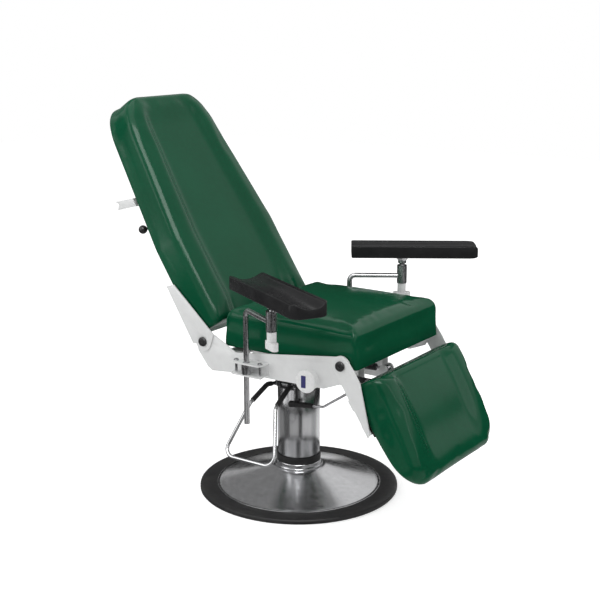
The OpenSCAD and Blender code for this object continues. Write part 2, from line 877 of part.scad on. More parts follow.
module arm_brackets() {
    h = bracket_high - bracket_low;
    color("#f2f3f3") for (s = [-1, 1]) {
        difference() {
            union() {
                translate([0, 0, bracket_low]) linear_extrude(bracket_t) flange_outline(s);
                translate([0, 0, bracket_high - bracket_t]) linear_extrude(bracket_t) flange_outline(s);
                translate([-bracket_back, s > 0 ? plate_out : -plate_out - bracket_t, bracket_low])
                    cube([bracket_back + bracket_front, bracket_t, h]);
            }
            translate([rod_x, s * rod_y, bracket_low - cut])
                cylinder(r = collar_spigot_r + fit, h = h + 2 * cut);
            bracket_bolt_places(s) translate([0, 0, bracket_low - cut])
                cylinder(d = bracket_bolt_d + 2 * fit, h = h + 2 * cut);
        }
    }
}

module bracket_bolts() {
    color("#2b2b2b") for (s = [-1, 1]) {
        bracket_bolt_places(s) {
            translate([0, 0, bracket_low]) cylinder(d = bracket_bolt_d, h = bracket_high - bracket_low);
            for (z = [bracket_low - bracket_bolt_head_h, bracket_high]) {
                translate([0, 0, z])
                    cylinder(r = bracket_bolt_d * bolt_head_share, h = bracket_bolt_head_h, $fn = 6);
            }
        }
    }
}

// Black parts on the frame that carry and stop the leg release lever
module lever_mounts() {
    bar_in = -rail_in - rail_w;
    color("#1f1f1f") {
        translate([rail_front - lever_bar_lap, bar_in - lever_bar_t, lever_pivot[1] - lever_bar_h / 2])
            cube([lever_pivot[0] - rail_front + lever_bar_lap + lever_hub_d / 2,
                lever_bar_t, lever_bar_h]);
        cross_bar(lever_pivot, lever_stud_d, lever_y - lever_hub_l, bar_in - cut);
        translate([stop_x, lever_y, stop_low]) cylinder(d = stop_d, h = stop_top - stop_low + cut);
        translate([stop_x - stop_d / 2, lever_y - stop_d / 2, stop_top])
            cube([stop_d, bar_in - lever_y + stop_d / 2, stop_tab_h]);
    }
}

// Seat

module seat_board() {
    half = seat_w / 2 - board_inset;
    color("#33291f") translate([seat_rear + draw_in, -half, board_z])
        cube([seat_l - draw_in - board_inset, 2 * half, board_t]);
}

seat_inner_shares = [0.14, 0.26, 0.38, 0.5, 0.62, 0.74, 0.86];

module seat_cushion() {
    along = concat([for (e = end_shares) e * seat_edge_r], seat_inner_shares * seat_l,
        [for (i = [len(end_shares) - 1 : -1 : 0]) seat_l - end_shares[i] * seat_edge_r]);
    color("#0d5a34") skin([for (x = along) let (
            drop = edge_drop(min(x, seat_l - x), seat_edge_r),
            middle = 2 * x / seat_l - 1,
            rise = seat_crown * (1 - middle * middle))
        [for (p = section(seat_w / 2 - drop * corner_share, seat_z, seat_z + seat_t - drop, seat_edge_r,
                [for (t = top_shares) rise * (1 - t * t)])) [seat_rear + x, p[0], p[1]]]]);
}

// Back

module on_back() {
    translate([back_x, 0, back_z]) rotate([0, -back_lean, 0]) children();
}

// A point of the XZ plane in the frame of the back
function to_back(p) = let (d = [p[0] - back_x, p[1] - back_z])
    [d[0] * cos(back_lean) + d[1] * sin(back_lean), d[1] * cos(back_lean) - d[0] * sin(back_lean)];

back_inner_shares = [0.08, 0.2, 0.32, 0.44, 0.55, 0.66, 0.77, 0.84];
back_top_turns = [0, 18, 34, 48, 60, 70, 80, 90];

// Half width of the back at a height up it
function back_half(z) = let (
        corner = max(0, z - back_l + back_corner_l) / back_corner_l,
        taper = (z / back_l - back_taper_from_share) / (back_taper_to_share - back_taper_from_share),
        straight = back_bottom_half - (back_bottom_half - back_top_half) * min(1, max(0, taper)))
    straight - back_corner_w * (1 - sqrt(max(0, 1 - corner * corner)));

module back_cushion() {
    along = concat([for (e = end_shares) e * back_edge_r], back_inner_shares * back_l,
        [for (a = back_top_turns) back_l - back_corner_l * (1 - sin(a))]);
    color("#0d5a34") on_back() skin([for (z = along) let (
            drop = edge_drop(min(z, back_l - z), back_edge_r),
            fade = smooth((back_l - z) / back_corner_l))
        [for (p = section(back_half(z) - (z < back_l / 2 ? drop * back_foot_share : 0), -back_t, -drop, back_edge_r,
                [for (t = top_shares) -back_hollow * fade * (1 - bolster(t))])) [p[1], -p[0], z]]]);
}

module back_board() {
    heights = concat([back_board_inset],
        [for (i = [0 : len(back_inner_shares) - 2]) back_inner_shares[i] * back_l],
        [for (a = back_top_turns) back_l - back_corner_l * (1 - sin(a)) - back_board_inset]);
    edge = [for (z = heights) [z, back_half(z) - back_board_inset]];
    color("#33291f") on_back() translate([-back_t, 0, 0]) rotate([0, -90, 0])
        linear_extrude(back_board_t) polygon(concat(edge,
            [for (i = [len(edge) - 1 : -1 : 0]) [edge[i][0], -edge[i][1]]]));
}

module back_arms() {
    color("#f2f3f3") difference() {
        for (s = [-1, 1]) {
            side_slab(s, arm_in, plate_t) {
                translate([-rear_pivot_x, rear_pivot_z]) {
                    polygon(back_arm_shares * back_arm_l);
                    circle(r = pivot_eye_r);
                }
            }
        }
        cross_bar([-rear_pivot_x, rear_pivot_z], pivot_bolt_d + 2 * fit, -2 * arm_out, 2 * arm_out);
    }
}

// Lug plates either side of the middle, in the XZ plane
module lug_pair() {
    for (s = [-1, 1]) side_slab(s, lug_y, lug_t) children();
}

module back_frame() {
    face = -back_rear - strap_t;
    pin = to_back(back_gas_moving);
    lever_at = ball_lever_z - ball_hub_l / 2;
    color("#e9ebeb") on_back() difference() {
        union() {
            for (z = [strap_low, strap_low + strap_h + strap_gap]) {
                translate([face, -arm_in, z]) cube([strap_t, 2 * arm_in, strap_h]);
            }
            for (s = [-1, 1]) {
                translate([face - upright_t, s * upright_y - upright_w / 2, strap_low])
                    cube([upright_t, upright_w, upright_top - strap_low]);
            }
            translate([face - upright_t, -upright_y, upright_top - top_bar_h])
                cube([upright_t, 2 * upright_y, top_bar_h]);
            lug_pair() {
                translate(pin) circle(r = back_lug_r);
                polygon([pin - [back_lug_r, 0], pin + [back_lug_r, 0], [face, strap_low],
                    [face, strap_low + strap_h], [pin[0] - back_lug_r, strap_low]]);
            }
            cross_bar(pin, lug_pin_d, -lug_y - lug_t, lug_y + lug_t);
            for (z = [lever_at - ball_ear_t - gap, lever_at + ball_hub_l + gap]) {
                translate([0, -upright_y, z]) {
                    translate([-ball_lever_x, -ball_hub_d / 2, 0])
                        cube([ball_lever_x + face - upright_t + cut, ball_hub_d, ball_ear_t]);
                    translate([-ball_lever_x, 0, 0]) cylinder(d = ball_hub_d, h = ball_ear_t);
                }
            }
            translate([-ball_lever_x, -upright_y, lever_at - gap - cut])
                cylinder(d = ball_stud_d, h = ball_hub_l + 2 * (gap + cut));
        }
        for (s = [-1, 1]) {
            translate([face - upright_t + strap_t, s * upright_y - upright_w / 2 + strap_t, strap_low - cut])
                cube([upright_t - 2 * strap_t, upright_w - 2 * strap_t, upright_top - strap_low - top_bar_h + cut]);
        }
    }
}

module roll_holder() {
    tip_low = [-back_rear - roll_reach, roll_low + roll_rise];
    tip_high = tip_low + [roll_notch / 2, roll_h];
    color("#eef0f0") on_back() {
        translate([-back_rear - roll_t, -roll_y, roll_low]) cube([roll_t, 2 * roll_y, roll_h]);
        for (s = [-1, 1]) {
            side_slab(s, roll_y - roll_t, roll_t) polygon([[-back_rear, roll_low], tip_low,
                (tip_low + tip_high) / 2 + [roll_notch, 0], tip_high, [-back_rear, roll_low + roll_h]]);
        }
    }
}

module back_lever() {
    color("#c9ccd1") on_back() translate([-ball_lever_x, -upright_y, 0]) {
        difference() {
            union() {
                translate([0, 0, ball_lever_z - ball_hub_l / 2]) cylinder(d = ball_hub_d, h = ball_hub_l);
                translate([0, 0, ball_lever_z]) rotate([90, 0, 0])
                    cylinder(d = lever_rod_d, h = ball_y - upright_y);
            }
            translate([0, 0, ball_lever_z - ball_hub_l]) cylinder(d = ball_stud_d + 2 * fit, h = 2 * ball_hub_l);
        }
    }
}

module lever_ball() {
    color("#1c1c1c") on_back() translate([-ball_lever_x, -ball_y, ball_lever_z]) difference() {
        union() {
            sphere(d = ball_d);
            rotate([-90, 0, 0]) cylinder(d = ball_ferrule_d, h = ball_d / 2 + cut);
        }
        rotate([-90, 0, 0]) cylinder(d = lever_rod_d + 2 * fit, h = ball_d);
    }
}

// Gas springs

// Cylinder of a gas spring, along Z from its rear eye, with the eye's pin along Y
module gas_cylinder(l) {
    color("#1c1c1c") difference() {
        union() {
            rotate([90, 0, 0]) cylinder(r = gas_eye_r, h = gas_eye_t, center = true);
            translate([0, 0, gas_eye_r - cut]) cylinder(d = gas_d, h = l - gas_eye_r + cut);
        }
        rotate([90, 0, 0]) cylinder(d = gas_pin_d + 2 * fit, h = gas_d, center = true);
        translate([0, 0, gas_eye_r + gas_cap]) cylinder(r = gas_d / 2 - gas_wall, h = l - gas_eye_r - 2 * gas_cap);
        translate([0, 0, l - gas_cap - cut]) cylinder(d = gas_rod_d + 2 * fit, h = gas_cap + 2 * cut);
    }
}

// Rod of a gas spring: from its piston to the eye, with room in the eye for the open pivot
module gas_rod(piston_at, l, play) {
    color("#d4d6da") difference() {
        union() {
            translate([0, 0, piston_at]) cylinder(r = gas_d / 2 - gas_wall - fit, h = piston_t);
            translate([0, 0, piston_at]) cylinder(d = gas_rod_d, h = l - piston_at);
            translate([0, 0, l]) rotate([90, 0, 0]) cylinder(r = gas_eye_r, h = gas_eye_t, center = true);
        }
        translate([0, 0, l]) rotate([90, 0, 0])
            cylinder(r = lug_pin_d / 2 + play, h = gas_d, center = true);
    }
}

module along_gas(from, to) {
    from_to([from[0], 0, from[1]], [to[0], 0, to[1]]) children();
}

module back_gas_cylinder() {
    along_gas(back_gas_fixed, back_gas_moving) gas_cylinder(back_gas_l);
}

module back_gas_rod() {
    along_gas(back_gas_fixed, back_gas_moving)
        gas_rod(back_piston_at, norm(back_gas_moving - back_gas_fixed), back_open_play);
}

module leg_gas_cylinder() {
    along_gas(leg_gas_fixed, leg_gas_moving) gas_cylinder(leg_gas_l);
}

module leg_gas_rod() {
    along_gas(leg_gas_fixed, leg_gas_moving)
        gas_rod(leg_piston_at, norm(leg_gas_moving - leg_gas_fixed), leg_open_play);
}

// Leg rest

module on_leg() {
    translate([leg_x, 0, leg_z]) rotate([0, leg_drop, 0]) children();
}

// A point of the XZ plane in the frame of the leg rest
function to_leg(p) = let (d = [p[0] - leg_x, p[1] - leg_z])
    [d[0] * cos(leg_drop) - d[1] * sin(leg_drop), d[0] * sin(leg_drop) + d[1] * cos(leg_drop)];

leg_inner_shares = [0.13, 0.2, 0.27, 0.34, 0.41];
leg_curl_turns = [0, 18, 33, 46, 58, 68, 77, 84, 90];

module leg_cushion() {
    along = concat([for (e = end_shares) e * leg_edge_r], leg_inner_shares * leg_l,
        [for (a = leg_curl_turns) leg_curl_from + (leg_l - leg_curl_from) * sin(a)]);
    color("#0d5a34") on_leg() skin([for (x = along) let (
            curl = max(0, x - leg_curl_from) / (leg_l - leg_curl_from),
            low = -leg_curl_end - (leg_t - leg_curl_end) * sqrt(max(0, 1 - curl * curl)),
            drop = edge_drop(x, leg_edge_r) + edge_drop(leg_l - x, leg_tip_r),
            fade = smooth((leg_l - x) / leg_fade_l) * smooth(x / leg_edge_r),
            far = x / leg_l,
            high = leg_crest - leg_sag * far * far - drop)
        [for (p = section(leg_half - edge_drop(leg_l - x, leg_corner_r) - drop * leg_corner_share,
                low, high, leg_edge_r,
                [for (t = top_shares) -leg_hollow * fade * (1 - bolster(t))]))
            [x - leg_top_end, p[0], p[1]]]]);
}

module leg_board() {
    half = leg_half - leg_board_inset;
    color("#33291f") on_leg() translate([leg_board_inset - leg_top_end, -half, -leg_rear])
        cube([leg_board_l, 2 * half, leg_board_t]);
}

module leg_arms() {
    color("#dfe1e2") difference() {
        for (s = [-1, 1]) {
            side_slab(s, arm_in, plate_t) {
                translate([front_pivot_x, front_pivot_z]) {
                    polygon(leg_arm_shares * leg_arm_l);
                    circle(r = pivot_eye_r);
                }
            }
        }
        cross_bar([front_pivot_x, front_pivot_z], pivot_bolt_d + 2 * fit, -2 * arm_out, 2 * arm_out);
    }
}

module leg_frame() {
    face = -leg_rear - strap_t;
    pin = to_leg(leg_gas_moving);
    color("#e9ebeb") on_leg() {
        for (x = leg_strap_x) {
            translate([x, -arm_in, face]) cube([leg_strap_w, 2 * arm_in, strap_t]);
            for (s = [-1, 1]) {
                translate([x, s > 0 ? arm_in - leg_tab_t : -arm_in, face]) cube([leg_strap_w, leg_tab_t, leg_tab_h]);
            }
        }
        lug_pair() {
            translate(pin) circle(r = leg_lug_r);
            polygon([pin + [0, leg_lug_r - gap], [-leg_top_end - leg_lug_step, pin[1] + leg_lug_r - gap],
                [-leg_top_end - leg_lug_step, face], [leg_strap_x[0] + leg_strap_w, face],
                [leg_strap_x[0] + leg_strap_w, face - strap_t], pin - [0, leg_lug_r - gap]]);
        }
        cross_bar(pin, lug_pin_d, -lug_y - lug_t, lug_y + lug_t);
    }
}

// Leg release lever, in the XZ plane at its own distance from the middle

function lever_point(p) = [p[0], lever_y, p[1]];

// Where the grip begins, on the line from its tip to the bend of the lever
function grip_root() = grip_tip + unit(lever_bend - grip_tip) * grip_l;

module leg_lever() {
    half_turn = acos(unit(lever_bend - lever_pivot) * unit(grip_tip - lever_bend)) / 2;
    past = lever_rod_d / 2 * tan(half_turn);
    color("#c9ccd1") difference() {
        union() {
            from_to(lever_point(lever_pivot), lever_point(lever_bend))
                cylinder(d = lever_rod_d, h = norm(lever_bend - lever_pivot) + past / 2);
            from_to(lever_point(lever_bend + unit(lever_bend - grip_tip) * past), lever_point(grip_tip))
                cylinder(d = lever_rod_d, h = norm(lever_bend - grip_tip) - grip_l + grip_bore);
            cross_bar(lever_pivot, lever_hub_d, lever_y - lever_hub_l / 2, lever_y + lever_hub_l / 2);
        }
        cross_bar(lever_pivot, lever_stud_d + 2 * fit, lever_y - lever_hub_l, lever_y + lever_hub_l);
    }
}

module leg_lever_grip() {
    color("#1c1c1c") from_to(lever_point(grip_root()), lever_point(grip_tip)) difference() {
        cylinder(r1 = grip_root_d / 2, r2 = grip_d / 2, h = grip_l);
        translate([0, 0, -cut]) cylinder(d = lever_rod_d + 2 * fit, h = grip_bore + cut);
    }
}

// Armrests

module on_arm(side) {
    translate([rod_x, side * rod_y, 0]) rotate(side > 0 ? left_swing : -right_swing) children();
}

module arm_collar(side) {
    low = bracket_low + bracket_t + gap;
    color("#d4d6da") on_arm(side) difference() {
        union() {
            translate([0, 0, low]) cylinder(r = collar_r, h = bracket_high - bracket_t - gap - low);
            translate([0, 0, bracket_low]) cylinder(r = collar_spigot_r, h = bracket_high - bracket_low);
        }
        translate([0, 0, bracket_low - cut])
            cylinder(d = rod_d + 2 * fit, h = bracket_high - bracket_low + 2 * cut);
    }
}

module arm_post(side) {
    color("#b9bcc1") on_arm(side) difference() {
        union() {
            translate([0, 0, rod_low]) cylinder(d = rod_d, h = rod_high - rod_bend_r - rod_low);
            translate([rod_bend_r, 0, rod_high - rod_bend_r]) rotate([90, 0, 0]) rotate([0, 0, 90])
                rotate_extrude(angle = 90) translate([rod_bend_r, 0]) circle(d = rod_d);
            translate([rod_bend_r, 0, rod_high]) rotate([0, 90, 0]) cylinder(d = rod_d, h = arm_l - rod_bend_r);
            translate([arm_l, 0, sleeve_low]) cylinder(d = sleeve_d, h = sleeve_h);
        }
        translate([arm_l, 0, sleeve_low - cut]) cylinder(r = stem_r + fit, h = sleeve_h + 2 * cut);
    }
}

module pad_stem(side) {
    top = sleeve_low + sleeve_h;
    color("#c9ccd1") on_arm(side) translate([arm_l, 0, 0]) {
        translate([0, 0, sleeve_low + 2 * cut]) cylinder(r = stem_r, h = sleeve_h);
        translate([0, 0, sleeve_low + 2 * cut - stud_l]) cylinder(d = stud_d, h = stud_l + cut);
        translate([0, 0, top + gap]) cylinder(d = sleeve_d, h = stem_shoulder_h);
        translate([0, 0, top]) cylinder(d = stem_neck_d, h = stem_ball_z - top);
        translate([0, 0, stem_ball_z]) sphere(d = stem_ball_d);
    }
}

module wing_knob(side) {
    top = sleeve_low - gap;
    stud_low = sleeve_low + 2 * cut - stud_l;
    color("#f4f5f5") on_arm(side) translate([arm_l, 0, 0]) difference() {
        union() {
            translate([0, 0, top - knob_stem_h]) cylinder(d = knob_stem_d, h = knob_stem_h);
            translate([0, 0, top - knob_stem_h - knob_wing_h]) linear_extrude(knob_wing_h + cut) {
                square([knob_w - knob_wing_t, knob_wing_t], center = true);
                for (s = [-1, 1]) {
                    translate([s * (knob_w - knob_wing_t) / 2, 0]) circle(d = knob_wing_t);
                }
            }
        }
        translate([0, 0, stud_low - gap]) cylinder(d = stud_d + 2 * fit, h = top - stud_low + 2 * cut);
    }
}

module pad_socket(side) {
    cone_low = stem_ball_z + socket_collar_h;
    color("#b9bcc1") on_arm(side) translate([arm_l, 0, 0]) difference() {
        union() {
            translate([0, 0, socket_low]) cylinder(r = socket_low_r, h = cone_low - socket_low + cut);
            translate([0, 0, cone_low])
                cylinder(r1 = socket_low_r, r2 = socket_top_r, h = pad_z - socket_flange_t - cone_low);
            translate([0, 0, pad_z - socket_flange_t]) cylinder(r = socket_top_r, h = socket_flange_t);
        }
        translate([0, 0, stem_ball_z]) sphere(r = stem_ball_d / 2 + fit);
    }
}

module round_rect(w, h, r) {
    translate([r, 0]) square([w - 2 * r, h]);
    translate([0, r]) square([w, h - 2 * r]);
    for (x = [r, w - r], y = [r, h - r]) translate([x, y]) circle(r = r);
}

module arm_pad(side) {
    trough_half = pad_w / 2 - pad_lip;
    trough_r = (trough_half * trough_half + pad_trough * pad_trough) / (2 * pad_trough);
    color("#232323") on_arm(side) translate([arm_l - pad_tail, 0, pad_z]) difference() {
        intersection() {
            rotate([90, 0, 90]) linear_extrude(pad_l) translate([-pad_w / 2, 0]) round_rect(pad_w, pad_t, pad_round);
            linear_extrude(pad_t) {
                translate([0, -pad_w / 2]) round_rect(pad_l, pad_w, pad_round);
                translate([0, -pad_w / 2]) square([pad_l - pad_front_r, pad_w]);
            }
            linear_extrude(pad_t) translate([-pad_w, -pad_w / 2]) round_rect(pad_l + pad_w, pad_w, pad_front_r);
        }
        translate([-cut, 0, pad_t + trough_r - pad_trough]) rotate([0, 90, 0])
            cylinder(r = trough_r, h = pad_l + 2 * cut, $fn = 128);
    }
}

module arm_collar_right() {
    arm_collar(right);
}

module arm_post_right() {
    arm_post(right);
}

module pad_stem_right() {
    pad_stem(right);
}

module wing_knob_right() {
    wing_knob(right);
}

module pad_socket_right() {
    pad_socket(right);
}

module arm_pad_right() {
    arm_pad(right);
}

module arm_collar_left() {
    arm_collar(left);
}

module arm_post_left() {
    arm_post(left);
}

module pad_stem_left() {
    pad_stem(left);
}

module wing_knob_left() {
    wing_knob(left);
}

module pad_socket_left() {
    pad_socket(left);
}

module arm_pad_left() {
    arm_pad(left);
}

base_plate();
base_rim();
base_dome();
base_neck();
base_bolts();
ram_tube();
ram_piston();
swivel_bearings();
column_cover();
column_collar();
hydraulic_cylinder();
guide_bush();
pump_head();
mount_plate();
mount_bolts();
frame_rails();
frame_crossbars();
side_plate_right();
side_plate_left();
pivot_bolts();
end_caps();
cap_inserts();
arm_brackets();
bracket_bolts();
seat_board();
seat_cushion();
spring_pins();
lever_mounts();
pedal_shaft();
pedal_stirrup();
pedal_sleeves();
back_arms();
back_frame();
back_board();
back_cushion();
roll_holder();
back_lever();
lever_ball();
back_gas_cylinder();
back_gas_rod();
leg_gas_cylinder();
leg_gas_rod();
leg_arms();
leg_frame();
leg_board();
leg_cushion();
leg_lever();
leg_lever_grip();
arm_collar_right();
arm_post_right();
pad_stem_right();
wing_knob_right();
pad_socket_right();
arm_pad_right();
arm_collar_left();
arm_post_left();
pad_stem_left();
wing_knob_left();
pad_socket_left();
arm_pad_left();
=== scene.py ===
import json
import math

import bmesh
import bpy
from mathutils import Matrix, Vector


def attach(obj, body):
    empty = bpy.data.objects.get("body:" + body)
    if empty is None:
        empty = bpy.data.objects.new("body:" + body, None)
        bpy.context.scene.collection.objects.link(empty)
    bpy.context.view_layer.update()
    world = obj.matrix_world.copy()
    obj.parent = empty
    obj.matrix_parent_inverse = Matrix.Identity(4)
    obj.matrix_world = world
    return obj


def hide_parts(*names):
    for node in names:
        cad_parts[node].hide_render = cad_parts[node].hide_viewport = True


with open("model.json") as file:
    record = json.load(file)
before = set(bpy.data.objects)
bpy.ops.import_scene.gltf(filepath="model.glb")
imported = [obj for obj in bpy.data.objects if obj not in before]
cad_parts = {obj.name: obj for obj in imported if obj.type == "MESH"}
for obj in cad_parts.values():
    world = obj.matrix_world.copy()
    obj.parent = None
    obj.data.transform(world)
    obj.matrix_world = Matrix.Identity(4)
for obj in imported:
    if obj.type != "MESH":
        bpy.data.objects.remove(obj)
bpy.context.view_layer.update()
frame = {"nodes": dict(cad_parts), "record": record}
solids = frame["nodes"]
scene = bpy.context.scene

# Camera, room and lamps

def aimed(thing, place, target):
    """Stands a lamp, card or camera at a place, looking at a target."""
    thing.location = place
    thing.rotation_euler = (Vector(target) - Vector(place)).to_track_quat("-Z", "Y").to_euler()
    scene.collection.objects.link(thing)
    return thing


CAMERA_AT, CAMERA_TARGET = (2.0619, -2.9703, 1.5071), (0.00454, 0.0, 0.62609)
lens = bpy.data.cameras.new("catalogue_camera")
lens.lens = 70.04
lens.sensor_width = 36.0
scene.camera = aimed(bpy.data.objects.new("catalogue_camera", lens), CAMERA_AT, CAMERA_TARGET)
scene.view_settings.view_transform = "Standard"


def studio_world(soft_light, white_room):
    """Plain soft light, with a white room behind everything that shows or mirrors it."""
    world = bpy.data.worlds.new("studio")
    scene.world = world
    world.use_nodes = True
    tree = world.node_tree
    tree.nodes.clear()
    path = tree.nodes.new("ShaderNodeLightPath")
    seen = path.outputs["Is Camera Ray"]
    for ray in ("Is Glossy Ray", "Is Transmission Ray"):
        either = tree.nodes.new("ShaderNodeMath")
        either.operation = "ADD"
        either.use_clamp = True
        tree.links.new(seen, either.inputs[0])
        tree.links.new(path.outputs[ray], either.inputs[1])
        seen = either.outputs[0]
    mixed = tree.nodes.new("ShaderNodeMixShader")
    tree.links.new(seen, mixed.inputs[0])
    for socket, strength in ((mixed.inputs[1], soft_light), (mixed.inputs[2], white_room)):
        light = tree.nodes.new("ShaderNodeBackground")
        light.inputs["Color"].default_value = (1.0, 1.0, 1.0, 1.0)
        light.inputs["Strength"].default_value = strength
        tree.links.new(light.outputs[0], socket)
    out = tree.nodes.new("ShaderNodeOutputWorld")
    tree.links.new(mixed.outputs[0], out.inputs["Surface"])


def softbox(name, place, target, wide, high, watts):
    """A rectangular lamp."""
    lamp = bpy.data.lights.new(name, "AREA")
    lamp.shape = "RECTANGLE"
    lamp.size = wide
    lamp.size_y = high
    lamp.energy = watts
    return aimed(bpy.data.objects.new(name, lamp), place, target)


def card(name, place, target, wide, high, tone):
    """A studio card of one tone that shows in gloss and metal only."""
    bm = bmesh.new()
    bmesh.ops.create_grid(bm, x_segments=1, y_segments=1, size=0.5,
                          matrix=Matrix.Diagonal((wide, high, 1.0, 1.0)))
    mesh = bpy.data.meshes.new(name)
    bm.to_mesh(mesh)
    bm.free()
    paper = bpy.data.materials.new(name)
    paper.use_nodes = True
    tree = paper.node_tree
    tree.nodes.clear()
    glow = tree.nodes.new("ShaderNodeEmission")
    glow.inputs["Color"].default_value = (tone, tone, tone, 1.0)
    out = tree.nodes.new("ShaderNodeOutputMaterial")
    tree.links.new(glow.outputs[0], out.inputs["Surface"])
    mesh.materials.append(paper)
    thing = aimed(bpy.data.objects.new(name, mesh), place, target)
    thing.visible_camera = False
    thing.visible_diffuse = False
    thing.visible_shadow = False
    thing.visible_transmission = False
    return thing


def floor_card(name, place, wide, high, turn, tone):
    """A card that lies flat under the floor's surface, turned about the upright axis."""
    thing = card(name, place, (place[0], place[1], -9.0), wide, high, tone)
    thing.rotation_euler = (0.0, 0.0, math.radians(turn))


def fan_card(name, radius, blades):
    """A round card on the floor under the chair, in sectors: each has the angle it ends at and a tone."""
    card(name, (0.0, 0.0, -0.02), (0.0, 0.0, -9.0), 1.0, 1.0, blades[0][1])
    thing = scene.objects[name]
    thing.rotation_euler = (0.0, 0.0, 0.0)
    for _, tone in blades[1:]:
        paper = thing.data.materials[0].copy()
        paper.node_tree.nodes["Emission"].inputs["Color"].default_value = (tone, tone, tone, 1.0)
        thing.data.materials.append(paper)
    bm = bmesh.new()
    bmesh.ops.create_circle(bm, cap_ends=True, cap_tris=True, segments=180, radius=radius)
    for face in bm.faces:
        middle = face.calc_center_median()
        turn = math.degrees(math.atan2(middle.y, middle.x))
        face.material_index = next(i for i, (end, _) in enumerate(blades) if turn <= end)
    bm.to_mesh(thing.data)
    bm.free()


def floor():
    """A white floor that keeps the chair's shadow and glows a little where the camera sees it."""
    bm = bmesh.new()
    bmesh.ops.create_grid(bm, x_segments=1, y_segments=1, size=9.0)
    mesh = bpy.data.meshes.new("studio_floor")
    bm.to_mesh(mesh)
    bm.free()
    paper = bpy.data.materials.new("studio_floor")
    paper.use_nodes = True
    tree = paper.node_tree
    surface = tree.nodes["Principled BSDF"]
    surface.inputs["Base Color"].default_value = (0.9, 0.9, 0.9, 1.0)
    surface.inputs["Roughness"].default_value = 0.9
    surface.inputs["Specular IOR Level"].default_value = 0.0
    path = tree.nodes.new("ShaderNodeLightPath")
    lift = tree.nodes.new("ShaderNodeMath")
    lift.operation = "MULTIPLY"
    lift.inputs[1].default_value = 0.6
    tree.links.new(path.outputs["Is Camera Ray"], lift.inputs[0])
    glow = tree.nodes.new("ShaderNodeEmission")
    tree.links.new(lift.outputs[0], glow.inputs["Strength"])
    both = tree.nodes.new("ShaderNodeAddShader")
    tree.links.new(surface.outputs[0], both.inputs[0])
    tree.links.new(glow.outputs[0], both.inputs[1])
    tree.links.new(both.outputs[0], tree.nodes["Material Output"].inputs["Surface"])
    mesh.materials.append(paper)
    thing = bpy.data.objects.new("studio_floor", mesh)
    thing.location = (0.0, 0.0, -0.0008)
    thing.visible_glossy = False
    scene.collection.objects.link(thing)


studio_world(soft_light=0.62, white_room=1.0)
floor()
softbox("overhead_softbox", (-0.3, -0.4, 4.2), (0.1, 0.0, 0.5), 3.2, 3.2, 46.0)
softbox("left_softbox", (-2.2, -3.2, 2.6), (0.0, 0.0, 0.7), 1.6, 2.4, 34.0)
softbox("right_softbox", (3.6, 1.2, 2.2), (0.1, 0.0, 0.6), 1.2, 2.4, 15.0)
# The next lamp shows in gloss only: it draws the bright lines on the crests of the bolsters
softbox("crest_lamp", (1.65, -1.9, 3.75), (-0.2, -0.1, 1.0), 3.0, 2.0, 190.0).visible_diffuse = False
card("rear_card", (-3.1, 4.6, 1.3), (0.0, 0.0, 0.6), 3.0, 4.6, 0.02)
card("left_card", (-5.2, 2.0, 0.9), (0.0, 0.0, 0.6), 3.6, 4.6, 0.25)
card("left_high_card", (-3.7, 2.0, 4.1), (0.0, 0.0, 0.1), 3.4, 4.0, 0.3)
card("far_card", (-0.2, 5.4, 0.9), (0.0, 0.0, 0.6), 2.4, 4.0, 0.8)
card("low_card", (2.8, 4.6, 0.2), (0.0, 0.0, 0.4), 6.0, 2.0, 0.02)
card("near_card", (2.9, -4.6, 0.9), (0.0, 0.0, 0.6), 2.6, 3.4, 0.12)
card("side_card", (-4.8, -1.4, 0.9), (0.0, 0.0, 0.6), 3.2, 3.2, 0.1)
# What gloss sees of the floor: dark paper, whose far edge mirrors as the line on the side of the back,
# and a fan of paler sheets close round the base, which the column mirrors as its upright bands
FLOOR_TURN = -26.8
floor_card("floor_card", (2.1, -1.06, -0.03), 7.0, 9.0, FLOOR_TURN, 0.02)
floor_card("left_floor_card", (-2.9, 2.36, -0.03), 5.0, 8.0, FLOOR_TURN, 0.03)
floor_card("bright_card", (-6.28, -4.34, -0.03), 5.0, 7.0, FLOOR_TURN, 3.0)
fan_card("base_card", 1.35, [(-140, 0.32), (-104, 0.16), (-56, 0.56), (-38, 0.12),
                             (14, 0.8), (50, 0.6), (120, 1.0), (180, 0.5)])

# Finishes


